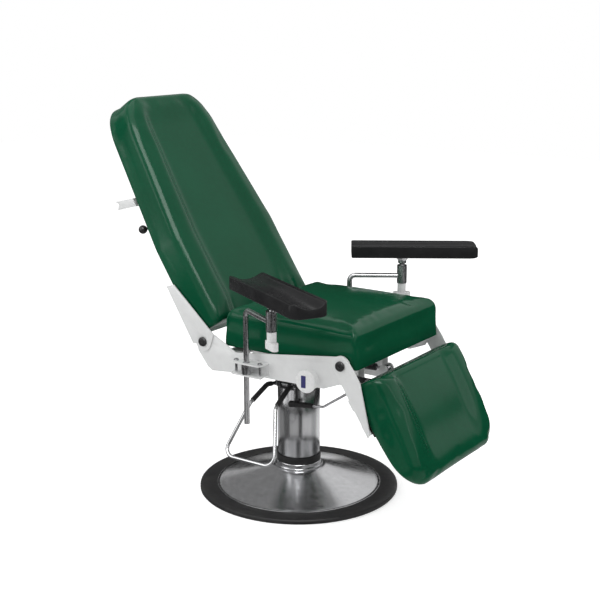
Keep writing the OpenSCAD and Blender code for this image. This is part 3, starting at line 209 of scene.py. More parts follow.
class Finish:
    """A material in the making: nodes on Object coordinates, in metres."""

    def __init__(self, name, colour, roughness, metallic=0.0, specular=0.5):
        self.material = bpy.data.materials.new(name)
        self.material.use_nodes = True
        self.material.diffuse_color = (*colour, 1.0)
        self.tree = self.material.node_tree
        self.surface = self.tree.nodes["Principled BSDF"]
        self.surface.inputs["Base Color"].default_value = (*colour, 1.0)
        self.surface.inputs["Roughness"].default_value = roughness
        self.surface.inputs["Metallic"].default_value = metallic
        self.surface.inputs["Specular IOR Level"].default_value = specular
        self.place = self.tree.nodes.new("ShaderNodeTexCoord").outputs["Object"]
        self.bump_out = None

    def stretched(self, scale):
        """Coordinates drawn out along an axis, for grain and brushing."""
        node = self.tree.nodes.new("ShaderNodeMapping")
        node.inputs["Scale"].default_value = scale
        self.tree.links.new(self.place, node.inputs["Vector"])
        return node.outputs["Vector"]

    def noise(self, scale, detail=3.0, rough=0.5, place=None):
        node = self.tree.nodes.new("ShaderNodeTexNoise")
        node.inputs["Scale"].default_value = scale
        node.inputs["Detail"].default_value = detail
        node.inputs["Roughness"].default_value = rough
        self.tree.links.new(place or self.place, node.inputs["Vector"])
        return node.outputs["Fac"]

    def cells(self, scale, feature="F1"):
        node = self.tree.nodes.new("ShaderNodeTexVoronoi")
        node.feature = feature
        node.inputs["Scale"].default_value = scale
        self.tree.links.new(self.place, node.inputs["Vector"])
        return node.outputs["Distance"]

    def ramp(self, fac, stops):
        """Turns a pattern into a colour between two stops."""
        node = self.tree.nodes.new("ShaderNodeValToRGB")
        for stop, (at, colour) in zip(node.color_ramp.elements, stops):
            stop.position = at
            stop.color = (*colour, 1.0)
        self.tree.links.new(fac, node.inputs["Fac"])
        return node.outputs["Color"]

    def span(self, fac, low, high, from_low=0.3, from_high=0.7):
        """Turns a pattern into a number between low and high."""
        node = self.tree.nodes.new("ShaderNodeMapRange")
        node.inputs["From Min"].default_value = from_low
        node.inputs["From Max"].default_value = from_high
        node.inputs["To Min"].default_value = low
        node.inputs["To Max"].default_value = high
        self.tree.links.new(fac, node.inputs["Value"])
        return node.outputs["Result"]

    def blended(self, fac, one, two):
        """Mixes a colour output with a plain colour by a pattern."""
        node = self.tree.nodes.new("ShaderNodeMix")
        node.data_type = "RGBA"
        self.tree.links.new(fac, node.inputs["Factor"])
        self.tree.links.new(one, node.inputs[6])
        node.inputs[7].default_value = (*two, 1.0)
        return node.outputs[2]

    def summed(self, one, two, share):
        """one + share * two"""
        node = self.tree.nodes.new("ShaderNodeMath")
        node.operation = "MULTIPLY_ADD"
        self.tree.links.new(two, node.inputs[0])
        node.inputs[1].default_value = share
        self.tree.links.new(one, node.inputs[2])
        return node.outputs[0]

    def colour(self, output):
        self.tree.links.new(output, self.surface.inputs["Base Color"])

    def rough(self, output):
        self.tree.links.new(output, self.surface.inputs["Roughness"])

    def bump(self, height, strength, distance=0.0004):
        node = self.tree.nodes.new("ShaderNodeBump")
        node.inputs["Strength"].default_value = strength
        node.inputs["Distance"].default_value = distance
        self.tree.links.new(height, node.inputs["Height"])
        if self.bump_out:
            self.tree.links.new(self.bump_out, node.inputs["Normal"])
        self.bump_out = node.outputs["Normal"]
        self.tree.links.new(self.bump_out, self.surface.inputs["Normal"])


def vinyl_finish():
    """Dark green upholstery vinyl: fine pressed grain, slow drift in shade, duller where it is sat on."""
    f = Finish("green_vinyl", (0.0022, 0.075, 0.033), 0.18, specular=0.15)
    drift = f.noise(5.0, 2.0)
    mottle = f.noise(55.0, 4.0)
    shade = f.ramp(drift, [(0.3, (0.0018, 0.068, 0.029)), (0.7, (0.0028, 0.082, 0.036))])
    f.colour(f.blended(f.span(mottle, 0.0, 0.22), shade, (0.0045, 0.097, 0.045)))
    f.rough(f.span(f.summed(f.noise(9.0, 3.0), mottle, 0.3), 0.14, 0.22, 0.3, 0.9))
    grain = f.cells(620.0, "DISTANCE_TO_EDGE")
    f.bump(f.summed(grain, f.noise(1400.0, 2.0), 0.4), 0.1, 0.0003)
    f.bump(f.noise(26.0, 2.0), 0.05, 0.0016)
    return f.material


def foam_finish():
    """Black integral-skin foam of the arm pads: satin skin, faint orange peel, rubbed lighter in places."""
    f = Finish("black_foam", (0.022, 0.022, 0.023), 0.24, specular=0.08)
    rub = f.noise(14.0, 4.0, 0.6)
    f.colour(f.ramp(rub, [(0.35, (0.019, 0.019, 0.02)), (0.75, (0.027, 0.027, 0.028))]))
    f.rough(f.span(rub, 0.18, 0.3))
    f.bump(f.noise(900.0, 3.0), 0.12, 0.0003)
    f.bump(f.cells(230.0), 0.05, 0.0004)
    return f.material


def chrome_finish():
    """Polished chrome: nearly even, with faint wiping marks and slow ripple of the sheet under it."""
    f = Finish("chrome", (0.5, 0.502, 0.512), 0.2, metallic=1.0)
    wipe = f.noise(60.0, 4.0, 0.6, f.stretched((1.0, 1.0, 0.12)))
    f.colour(f.ramp(wipe, [(0.3, (0.46, 0.462, 0.472)), (0.7, (0.54, 0.542, 0.552))]))
    f.rough(f.span(wipe, 0.17, 0.25))
    f.bump(f.noise(16.0, 1.0), 0.03, 0.001)
    return f.material


def steel_finish():
    """Bright drawn steel rod: fine lines along it and a soft satin gloss."""
    f = Finish("bright_steel", (0.5, 0.5, 0.51), 0.24, metallic=1.0)
    lines = f.noise(700.0, 3.0, 0.6, f.stretched((1.0, 1.0, 0.05)))
    f.colour(f.ramp(f.noise(40.0, 3.0), [(0.3, (0.44, 0.44, 0.45)), (0.7, (0.55, 0.55, 0.56))]))
    f.rough(f.span(lines, 0.18, 0.34))
    f.bump(lines, 0.08, 0.0002)
    return f.material


def dark_steel_finish():
    """Blackened steel of bolts, plates and gas springs."""
    f = Finish("black_steel", (0.03, 0.03, 0.031), 0.4, metallic=0.55, specular=0.5)
    wear = f.noise(120.0, 4.0, 0.65)
    f.colour(f.ramp(wear, [(0.45, (0.024, 0.024, 0.025)), (0.8, (0.07, 0.07, 0.072))]))
    f.rough(f.span(wear, 0.32, 0.5))
    f.bump(f.noise(1100.0, 2.0), 0.08, 0.0002)
    return f.material


def paint_finish():
    """White powder coat: slight orange peel, a little dust in the shade."""
    f = Finish("white_paint", (0.8, 0.808, 0.806), 0.32, specular=0.45)
    dust = f.noise(22.0, 5.0, 0.6)
    f.colour(f.ramp(dust, [(0.3, (0.765, 0.772, 0.77)), (0.65, (0.82, 0.828, 0.826))]))
    f.rough(f.span(dust, 0.28, 0.4))
    f.bump(f.noise(520.0, 2.0), 0.10, 0.0003)
    return f.material


def cast_finish():
    """Black enamelled casting of the pump head: coarse skin under the enamel."""
    f = Finish("cast_black", (0.024, 0.024, 0.026), 0.38, specular=0.5)
    skin = f.noise(260.0, 5.0, 0.6)
    f.colour(f.ramp(skin, [(0.3, (0.018, 0.018, 0.02)), (0.75, (0.04, 0.04, 0.043))]))
    f.rough(f.span(skin, 0.3, 0.5))
    f.bump(skin, 0.28, 0.0006)
    return f.material


def rubber_finish():
    """Black moulded rubber: dull, with floor dust caught in the skin."""
    f = Finish("black_rubber", (0.02, 0.02, 0.021), 0.5, specular=0.25)
    dust = f.noise(34.0, 5.0, 0.62)
    f.colour(f.ramp(dust, [(0.42, (0.018, 0.018, 0.019)), (0.8, (0.036, 0.035, 0.034))]))
    f.rough(f.span(dust, 0.4, 0.62))
    f.bump(f.noise(800.0, 3.0), 0.14, 0.0003)
    return f.material


def black_plastic_finish():
    f = Finish("black_plastic", (0.02, 0.02, 0.021), 0.3, specular=0.5)
    f.colour(f.ramp(f.noise(70.0, 3.0), [(0.35, (0.016, 0.016, 0.017)), (0.75, (0.03, 0.03, 0.031))]))
    f.rough(f.span(f.noise(180.0, 3.0), 0.24, 0.4))
    f.bump(f.cells(900.0), 0.06, 0.0002)
    return f.material


def white_plastic_finish():
    """Moulded white plastic of the caps and clamp knobs."""
    f = Finish("white_plastic", (0.86, 0.865, 0.865), 0.28, specular=0.5)
    f.colour(f.ramp(f.noise(48.0, 3.0), [(0.3, (0.83, 0.835, 0.832)), (0.7, (0.88, 0.885, 0.885))]))
    f.rough(f.span(f.noise(150.0, 3.0), 0.22, 0.36))
    f.bump(f.noise(640.0, 2.0), 0.05, 0.0002)
    return f.material


def blue_plastic_finish():
    f = Finish("blue_plastic", (0.035, 0.035, 0.16), 0.35, specular=0.5)
    f.colour(f.ramp(f.noise(190.0, 3.0), [(0.3, (0.028, 0.028, 0.135)), (0.7, (0.045, 0.045, 0.19))]))
    f.rough(f.span(f.noise(400.0, 2.0), 0.3, 0.42))
    f.bump(f.noise(1300.0, 2.0), 0.06, 0.0001)
    return f.material


def bronze_finish():
    f = Finish("bronze", (0.42, 0.27, 0.11), 0.35, metallic=1.0)
    f.colour(f.ramp(f.noise(90.0, 4.0), [(0.3, (0.36, 0.22, 0.09)), (0.7, (0.47, 0.31, 0.13))]))
    f.rough(f.span(f.noise(260.0, 3.0), 0.28, 0.45))
    f.bump(f.noise(900.0, 2.0), 0.08, 0.0002)
    return f.material


def plywood_finish():
    """Plywood stained nearly black: thin veneer bands on the edges, drawn-out figure on the faces."""
    f = Finish("plywood", (0.03, 0.024, 0.019), 0.6, specular=0.3)
    figure = f.noise(22.0, 5.0, 0.6, f.stretched((0.16, 1.0, 1.0)))
    face = f.ramp(figure, [(0.3, (0.022, 0.018, 0.014)), (0.7, (0.042, 0.034, 0.027))])
    layer = f.tree.nodes.new("ShaderNodeTexWave")
    layer.bands_direction = "Z"
    layer.inputs["Scale"].default_value = 105.0
    layer.inputs["Distortion"].default_value = 0.6
    f.tree.links.new(f.place, layer.inputs["Vector"])
    f.colour(f.blended(f.span(layer.outputs["Fac"], 0.0, 0.35, 0.0, 1.0), face, (0.07, 0.05, 0.034)))
    f.rough(f.span(figure, 0.5, 0.7))
    f.bump(f.noise(300.0, 3.0, 0.6, f.stretched((0.1, 1.0, 1.0))), 0.2, 0.0004)
    return f.material


FINISHES = {
    "green_vinyl": vinyl_finish(), "black_foam": foam_finish(), "chrome": chrome_finish(),
    "bright_steel": steel_finish(), "black_steel": dark_steel_finish(), "white_paint": paint_finish(),
    "cast_black": cast_finish(), "black_rubber": rubber_finish(), "black_plastic": black_plastic_finish(),
    "white_plastic": white_plastic_finish(), "blue_plastic": blue_plastic_finish(),
    "bronze": bronze_finish(), "plywood": plywood_finish(),
}

# Every solid that stays in view takes the finish of its slot
for solid in solids.values():
    for hold in solid.material_slots:
        plain = hold.material.name.split(".")[0] if hold.material else ""
        if plain in FINISHES:
            hold.material = FINISHES[plain]

# Workshop: shells in millimetres

# Where the back, the leg rest and the armrests stand at rest: an origin and a turn each
BACK = Matrix.Translation((-116.0, 0.0, 591.0)) @ Matrix.Rotation(math.radians(-33.0), 4, "Y")
LEG = Matrix.Translation((425.0, 0.0, 495.0)) @ Matrix.Rotation(math.radians(55.0), 4, "Y")
ARM = {"right": Matrix.Translation((8.0, -289.0, 0.0)) @ Matrix.Rotation(math.radians(-28.0), 4, "Z"),
       "left": Matrix.Translation((8.0, 289.0, 0.0)) @ Matrix.Rotation(math.radians(33.0), 4, "Z")}
# The armrests' rod: how far it reaches, the height of its level run, and of the pad's ball and underside
ROD_REACH, ROD_Z, BALL_Z, PAD_Z = 176.0, 655, 704, 725


def moved(bm, place):
    """Puts a shell at its place."""
    bmesh.ops.transform(bm, matrix=place, verts=bm.verts)
    return bm


def softened(bm, r, segments=2, angle=28.0):
    """Rounds the sharp edges of a shell."""
    edges = [e for e in bm.edges if len(e.link_faces) == 2
             and e.calc_face_angle(0.0) > math.radians(angle)]
    bmesh.ops.bevel(bm, geom=edges, offset=r, offset_type="OFFSET", segments=segments, profile=0.5,
                    affect="EDGES", clamp_overlap=True, material=-1)
    return bm


def rounded_corners(bm, corners, radius, segments):
    """Rounds the chosen corners of a flat face."""
    bmesh.ops.bevel(bm, geom=corners, offset=radius, offset_type="OFFSET", segments=segments, profile=0.5,
                    affect="VERTICES", clamp_overlap=True, material=-1)


def thickened(bm, t):
    """Pulls a flat face up to a thickness."""
    pulled = bmesh.ops.extrude_face_region(bm, geom=bm.faces[:])
    tops = [g for g in pulled["geom"] if isinstance(g, bmesh.types.BMVert)]
    bmesh.ops.translate(bm, vec=(0.0, 0.0, t), verts=tops)
    bmesh.ops.recalc_face_normals(bm, faces=bm.faces)


def sliced(bm, at, out, clear=False):
    """Cuts a shell along a plane, and clears what lies beyond it where asked."""
    return bmesh.ops.bisect_plane(bm, geom=bm.verts[:] + bm.edges[:] + bm.faces[:], plane_co=at,
                                  plane_no=out, clear_outer=clear, dist=1e-4)


def block(x, y, z, r, segments):
    """A box between three pairs of limits."""
    bm = bmesh.new()
    centre = Vector(((x[0] + x[1]) / 2, (y[0] + y[1]) / 2, (z[0] + z[1]) / 2))
    bmesh.ops.create_cube(bm, size=1.0, matrix=Matrix.Translation(centre)
                          @ Matrix.Diagonal((x[1] - x[0], y[1] - y[0], z[1] - z[0], 1.0)))
    return softened(bm, r, segments)


def sheet_cut(outline, t, picked, radius, r, segments=2):
    """A flat outline (x, y), its picked corners rounded, pulled up to a thickness and eased."""
    bm = bmesh.new()
    corners = [bm.verts.new((x, y, 0.0)) for x, y in outline]
    bm.faces.new(corners)
    rounded_corners(bm, [corners[i] for i in picked], radius, 6)
    thickened(bm, t)
    return softened(bm, r, segments, 50.0)


def turned(profile, steps):
    """A profile of (radius, height) turned about the Z axis, closed back to its start."""
    bm = bmesh.new()
    points = [bm.verts.new((max(p[0], 0.0), 0.0, p[1])) for p in profile]
    edges = [bm.edges.new(pair) for pair in zip(points, points[1:])]
    if profile[0][0] > 0.0 or profile[-1][0] > 0.0:
        edges.append(bm.edges.new((points[-1], points[0])))
    bmesh.ops.spin(bm, geom=points + edges, cent=(0, 0, 0), axis=(0, 0, 1), angle=math.tau, steps=steps,
                   use_merge=True)
    bmesh.ops.remove_doubles(bm, verts=bm.verts, dist=0.002)
    bmesh.ops.recalc_face_normals(bm, faces=bm.faces)
    return bm


def sideways(at, side):
    """Places a turned shell's axis along Y, its top towards +Y (side 1) or -Y (side -1)."""
    return Matrix.Translation(at) @ Matrix.Rotation(math.radians(-90.0 if side > 0 else 90.0), 4, "X")


def along(a, b):
    """Places a shell's Z axis from one point towards another."""
    a, b = Vector(a), Vector(b)
    return Matrix.Translation(a) @ (b - a).to_track_quat("Z", "Y").to_matrix().to_4x4()


def bent_rod(path, d, bend, facets, steps, ends=0.5):
    """A round bar of thickness d, drawn along its runs and bent at every inner corner."""
    path = [Vector(p) for p in path]
    way = [(b - a).normalized() for a, b in zip(path, path[1:])]
    first = way[0].to_track_quat("Z", "Y").to_matrix().to_4x4()
    bm = bmesh.new()
    bmesh.ops.create_circle(bm, cap_ends=True, segments=facets, radius=d / 2.0,
                            matrix=Matrix.Translation(path[0]) @ first)
    bm.faces.ensure_lookup_table()
    tip = bm.faces[0]
    at = path[0].copy()

    def pulled():
        out = bmesh.ops.extrude_face_region(bm, geom=[tip])["geom"]
        return [g for g in out if isinstance(g, bmesh.types.BMFace)][0]

    for i, run in enumerate(way):
        end = path[i + 1]
        turn = run.angle(way[i + 1]) if i + 1 < len(way) else 0.0
        back = bend * math.tan(turn / 2.0)
        stop = end - run * back
        if (stop - at).length > 1e-4:
            tip = pulled()
            bmesh.ops.translate(bm, vec=stop - at, verts=tip.verts)
        at = stop
        if turn > 1e-4:
            axis = run.cross(way[i + 1]).normalized()
            centre = stop + axis.cross(run).normalized() * bend
            for _ in range(steps):
                tip = pulled()
                step = Matrix.Rotation(turn / steps, 3, axis)
                bmesh.ops.rotate(bm, cent=centre, matrix=step, verts=tip.verts)
                at = centre + step @ (at - centre)
    bmesh.ops.recalc_face_normals(bm, faces=bm.faces)
    return softened(bm, ends, 2, 60.0)


def joined(*shells):
    """Several shells as one piece."""
    whole = bmesh.new()
    for shell in shells:
        mesh = bpy.data.meshes.new("shell")
        shell.to_mesh(mesh)
        shell.free()
        whole.from_mesh(mesh)
        bpy.data.meshes.remove(mesh)
    return whole


def copied(node, r, segments=2, angle=30.0):
    """A solid's own shape, merged, its flat faces cleaned and its edges eased."""
    bm = bmesh.new()
    bm.from_mesh(solids[node].data)
    bmesh.ops.scale(bm, vec=(1000.0, 1000.0, 1000.0), verts=bm.verts)
    bmesh.ops.remove_doubles(bm, verts=bm.verts, dist=0.004)
    bmesh.ops.dissolve_limit(bm, angle_limit=math.radians(0.4), verts=bm.verts, edges=bm.edges,
                             use_dissolve_boundaries=False)
    return softened(bm, r, segments, angle)


def body_of(node):
    """The body that a solid moves with."""
    return next(b for b, names in frame["record"]["behaviour"]["bodies"].items() if node in names)


def piece(bm, name, finish, *instead, sharp=34.0):
    """Finishes a shell as a piece in metres that rides on its body and stands for its solids."""
    bmesh.ops.recalc_face_normals(bm, faces=bm.faces)
    bmesh.ops.scale(bm, vec=(0.001, 0.001, 0.001), verts=bm.verts)
    mesh = bpy.data.meshes.new(name)
    bm.to_mesh(mesh)
    bm.free()
    for face in mesh.polygons:
        face.use_smooth = True
    mesh.set_sharp_from_angle(angle=math.radians(sharp))
    thing = bpy.data.objects.new(name, mesh)
    scene.collection.objects.link(thing)
    mesh.materials.append(FINISHES[finish])
    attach(thing, body_of(instead[0]))
    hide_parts(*instead)
    return thing


# Base, column and frame

def dished(t):
    """Height of the base's cover, from 0 at its rim to 1 at its neck."""
    return 15.0 + 58.0 * (0.8 * t + 0.2 * t * t)


def base():
    """The rubber ring, the dished cover and the neck that it ends in."""
    ring = [(290, 0), (323.5, 0), (325, 1.5), (325, 8.5), (324.2, 11.2), (322, 13.4), (319, 14.6),
            (300, 15), (274, 15), (272.5, 14.4), (271, 14.4), (269.6, 15), (269, 14.4), (269, 9), (290, 9)]
    piece(turned(ring, 160), "base_rim_ring", "black_rubber", "base_rim", sharp=40)
    outer = [(268.5 - 188.5 * i / 20, dished(i / 20)) for i in range(21)]
    inner = [(r - 1.5, z - 3) for r, z in outer[::-1]]
    lip = [(267.9, 16.1), (266.6, 16.6), (265.2, 16.2)]
    cover = [(268.5, 9), (268.5, 14.2)] + lip + outer[1:] + [(60, 73), (60, 70)] + inner[:-1] + [(267, 9)]
    piece(turned(cover, 160), "dished_cover", "chrome", "base_dome", sharp=40)
    neck = [(36.05, 9), (66, 9), (66, 18), (44, 18), (44, 73), (77.4, 73), (78, 73.6), (78, 78.6),
            (77.2, 79.8), (76, 80), (73, 80), (73, 91), (72.2, 92.2), (71, 92.5), (36.05, 92.5)]
    piece(turned(neck, 128), "bearing_neck", "chrome", "base_neck", sharp=32)


def column():
    """The bright tube, the collar at its foot, and the pump's casting with its ears."""
    tube = [(67, 114), (68.4, 114), (69, 114.8), (69, 344), (68.4, 345), (67, 345)]
    piece(turned(tube, 128), "cover_tube", "chrome", "column_cover", sharp=40)
    collar = [(41.05, 93), (71, 93), (72, 94), (72, 112), (71.6, 113.2), (70.4, 114), (41.05, 114)]
    piece(turned(collar, 128), "foot_collar", "black_rubber", "column_collar", sharp=32)
    ears = []
    for s in (-1, 1):
        lug = sheet_cut([(-61, 352), (-61, 374), (-74, 374), (-85, 374), (-85, 352), (-74, 352)], 13.0,
                        (3, 4), 10.9, 0.8)
        lug_place = Matrix(((0, 0, 1, s * 20.5 - 6.5), (1, 0, 0, 0), (0, 1, 0, 0), (0, 0, 0, 1)))
        ears.append(moved(lug, lug_place))
    plug_place = Matrix.Translation((44.8, 22.0, 372.0)) @ Matrix.Rotation(math.radians(90), 4, "Y")
    plug = moved(turned([(0, 0), (9, 0), (9, 1.6), (7, 2.6), (0, 2.6)], 32), plug_place)
    flange = turned([(0, 345), (65, 345), (66, 346), (66, 352.2), (65.2, 353), (0, 353)], 96)
    piece(joined(flange, block((-45, 45), (-61, 61), (345, 395), 3.0, 4), *ears, plug),
          "pump_casting", "cast_black", "pump_head", sharp=34)


def frame_steel():
    """Flat and boxed steel, remade from its solids with eased edges."""
    for node, name, r, finish in (
            ("mount_plate", "mounting_plate", 0.8, "black_steel"),
            ("frame_rails", "box_rails", 1.4, "white_paint"),
            ("frame_crossbars", "seat_crossbars", 0.8, "white_paint"),
            ("lever_mounts", "release_lever_mounts", 0.5, "black_steel"),
            ("back_frame", "back_carrier", 0.7, "white_paint"),
            ("leg_frame", "leg_carrier", 0.7, "white_paint"),
            ("roll_holder", "roll_arms", 0.6, "white_paint"),
            ("side_plate_right", "right_side_plate", 0.6, "white_paint"),
            ("side_plate_left", "left_side_plate", 0.6, "white_paint"),
            ("back_arms", "back_side_arms", 0.6, "white_paint"),
            ("leg_arms", "leg_side_arms", 0.6, "white_paint"),
            ("arm_brackets", "armrest_brackets", 0.6, "white_paint")):
        piece(copied(node, r), name, finish, node, sharp=34)


def caps():
    """The round caps with their plain plates, and the capped bolts of the four pivots."""
    cap_x, cap_y, cap_z, plate_y, bolt_y = 221, 282, 468, 291, 263
    dome = [(0, 9), (21.5, 9), (25.5, 8.5), (29.5, 7.3), (32.6, 5.9), (34.4, 4.3), (35, 2.8), (35, 1.2),
            (34.4, 0.4), (33.5, 0), (25.9, 0), (25.9, -10), (0, -10)]
    shells = [moved(turned(dome[::-1], 96), sideways((cap_x, s * cap_y, cap_z), s)) for s in (-1, 1)]
    piece(joined(*shells), "round_end_caps", "white_plastic", "end_caps", sharp=40)
    plates = []
    for s in (-1, 1):
        plate = sheet_cut([(-11, -18.5), (5, -18.5), (5, 18.5), (-11, 18.5)], 1.0, range(4), 1.5, 0.25)
        plates.append(moved(plate, sideways((cap_x, s * plate_y, cap_z), s)))
    piece(joined(*plates), "plain_cap_plates", "blue_plastic", "cap_inserts", sharp=40)
    button = [(0, -0.9), (4.2, -0.9), (5.2, 0), (11.5, 0), (13.3, -0.6), (14.5, -1.9), (15, -3.5),
              (15, -6.4), (14.4, -7), (6, -7), (6, -15.5), (11, -15.5), (11, -18), (0, -18)]
    rim_h = 7
    button = [(r, h + rim_h) for r, h in button]
    shells = []
    for x, z in ((-181, 520), (327, 527)):
        for s in (-1, 1):
            shells.append(moved(turned(button, 48), sideways((x, s * bolt_y, z), s)))
    piece(joined(*shells), "pivot_bolt_caps", "black_plastic", "pivot_bolts", sharp=36)


def bracket_screws():
    """Four upright bolts through the armrest brackets, each with two washers, a head and a nut."""
    low, high, bolt_r, bolt_y = 451.0, 491.0, 4, 285.0
    washer_r, washer_t, head_r, head_t = 8.4, 1.2, 6.8, 3.8
    shells = []
    for s in (-1, 1):
        for x in (-33.0, 56.0):
            at = Matrix.Translation((x, s * bolt_y, 0.0))
            shells.append(moved(turned([(0, low), (bolt_r, low), (bolt_r, high), (0, high)], 24), at))
            for z, up in ((high, 1.0), (low, -1.0)):
                face = at @ Matrix.Translation((0, 0, z)) @ Matrix.Diagonal((1.0, 1.0, up, 1.0))
                washer = [(0, 0), (washer_r, 0), (washer_r, washer_t), (0, washer_t)]
                shells.append(moved(turned(washer, 32), face))
                middle = Matrix.Translation((0, 0, washer_t + head_t / 2))
                head = bmesh.new()
                bmesh.ops.create_cone(head, cap_ends=True, segments=6, radius1=head_r, radius2=head_r,
                                      depth=head_t, matrix=middle)
                shells.append(moved(softened(head, 0.5, 2, 20.0), face))
    piece(joined(*shells), "bracket_bolt_set", "bright_steel", "bracket_bolts", sharp=30)


# Boards

def boards():
    """The panels under the three cushions; the back's keeps its shallow bends sharp."""
    for node, name, angle in (("seat_board", "seat_panel", 30.0), ("back_board", "back_panel", 60.0),
                              ("leg_board", "leg_panel", 30.0)):
        piece(copied(node, 1.2, 3, angle), name, "plywood", node, sharp=34)


# Pedal, levers and gas springs

SHAFT_Y, SHAFT_Z = -74, 363
ROD_BEND = 30.0


def pedal_run(s):
    """The corners of one side of the foot loop, from the shaft down to the loop's end."""
    return [(s * 34, SHAFT_Y, SHAFT_Z), (s * 41, -117, 368), (s * 48.5, -197, 327), (s * 100, -275, 167)]


def pedal():
    """The shaft, the bent foot loop and the sleeves on its upper bends."""
    shaft = [(0, -37.5), (9, -37.5), (9.5, -37), (9.5, -28), (9, -27.5), (6, -27.5), (6, 27.5), (9, 27.5),
             (9.5, 28), (9.5, 37), (9, 37.5), (0, 37.5)]
    across = Matrix.Translation((0, SHAFT_Y, SHAFT_Z)) @ Matrix.Rotation(math.radians(90), 4, "Y")
    piece(moved(turned(shaft, 40), across), "pedal_shaft_bar", "bright_steel", "pedal_shaft", sharp=30)
    right, left = pedal_run(-1), pedal_run(1)
    piece(bent_rod(right + left[::-1], 12.0, ROD_BEND, 28, 10),
          "foot_stirrup", "chrome", "pedal_stirrup", sharp=40)
    shells = []
    for s in (-1, 1):
        way = [Vector(p) for p in pedal_run(s)]
        start = way[0] + (way[1] - way[0]) * 0.55
        end = way[2] - (way[2] - way[1]).normalized() * 12.0
        shells.append(bent_rod([start, way[1], end], 16.0, ROD_BEND, 28, 10, 1.0))
    piece(joined(*shells), "stirrup_sleeves", "black_rubber", "pedal_sleeves", sharp=40)


def levers():
    """The two release levers: a cranked rod with a grip under the seat, a bar with a ball on the back."""
    lever_y, pivot, bend, stub, tip = -100, (322, 436), (162, 326), (59, 314.7), (34, 312)
    pivot, bend, stub, tip = [Vector((x, lever_y, z)) for x, z in (pivot, bend, stub, tip)]
    eye = [(0, -4.5), (8.4, -4.5), (9, -3.9), (9, 3.9), (8.4, 4.5), (0, 4.5)]
    crank = bent_rod([pivot, bend, stub], 8.0, 14.0, 20, 10)
    piece(joined(crank, moved(turned(eye, 36), sideways(pivot, 1))),
          "leg_release_rod", "bright_steel", "leg_lever", sharp=34)
    grip_l = 90.0
    root = tip + (bend - tip).normalized() * grip_l
    grip = [(0, 0), (6.2, 0), (7.4, 0.7), (8, 2.2), (8.35, 12)]
    for i in range(6):
        z = 16 + i * 11.0
        r = 8.0 + 3.0 * z / grip_l
        grip += [(r, z), (r - 0.55, z + 1.2), (r - 0.55, z + 2.2), (r + 0.1, z + 3.4)]
    grip += [(11, 85), (10.4, 88), (8.6, 89.6), (6.4, 90), (0, 90)]
    piece(moved(turned(grip, 40), along(root, tip)),
          "release_grip", "black_rubber", "leg_lever_grip", sharp=50)
    hub_x, hub_y, hub_z, bar_r, bar_l, ball_y = -152, -72, 394, 4, 150, -218
    hub = [(0, 382), (8.4, 382), (9, 382.6), (9, 405.4), (8.4, 406), (0, 406)]
    bar = [(0, 0), (bar_r, 0), (bar_r, bar_l), (0, bar_l)]
    piece(joined(moved(turned(hub, 36), BACK @ Matrix.Translation((hub_x, hub_y, 0))),
                 moved(turned(bar, 24), BACK @ sideways((hub_x, hub_y, hub_z), -1))),
          "back_release_rod", "bright_steel", "back_lever", sharp=34)
    ball_r = 14
    ball = [(0, -ball_r)]
    ball += [(ball_r * math.sin(math.radians(a)), -ball_r * math.cos(math.radians(a)))
             for a in range(8, 149, 7)]
    ball += [(7, 12.4), (7, 14.4), (6.4, 15), (0, 15)]
    piece(moved(turned(ball, 48), BACK @ sideways((hub_x, ball_y, hub_z), 1)),
          "release_ball", "black_plastic", "lever_ball", sharp=40)


def springs():
    """The two gas springs, each a tube and a rod."""
    for node, name, finish in (("back_gas_cylinder", "back_spring_tube", "black_steel"),
                               ("back_gas_rod", "back_spring_rod", "bright_steel"),
                               ("leg_gas_cylinder", "leg_spring_tube", "black_steel"),
                               ("leg_gas_rod", "leg_spring_rod", "bright_steel")):
        piece(copied(node, 0.4), name, finish, node, sharp=34)


# Armrests

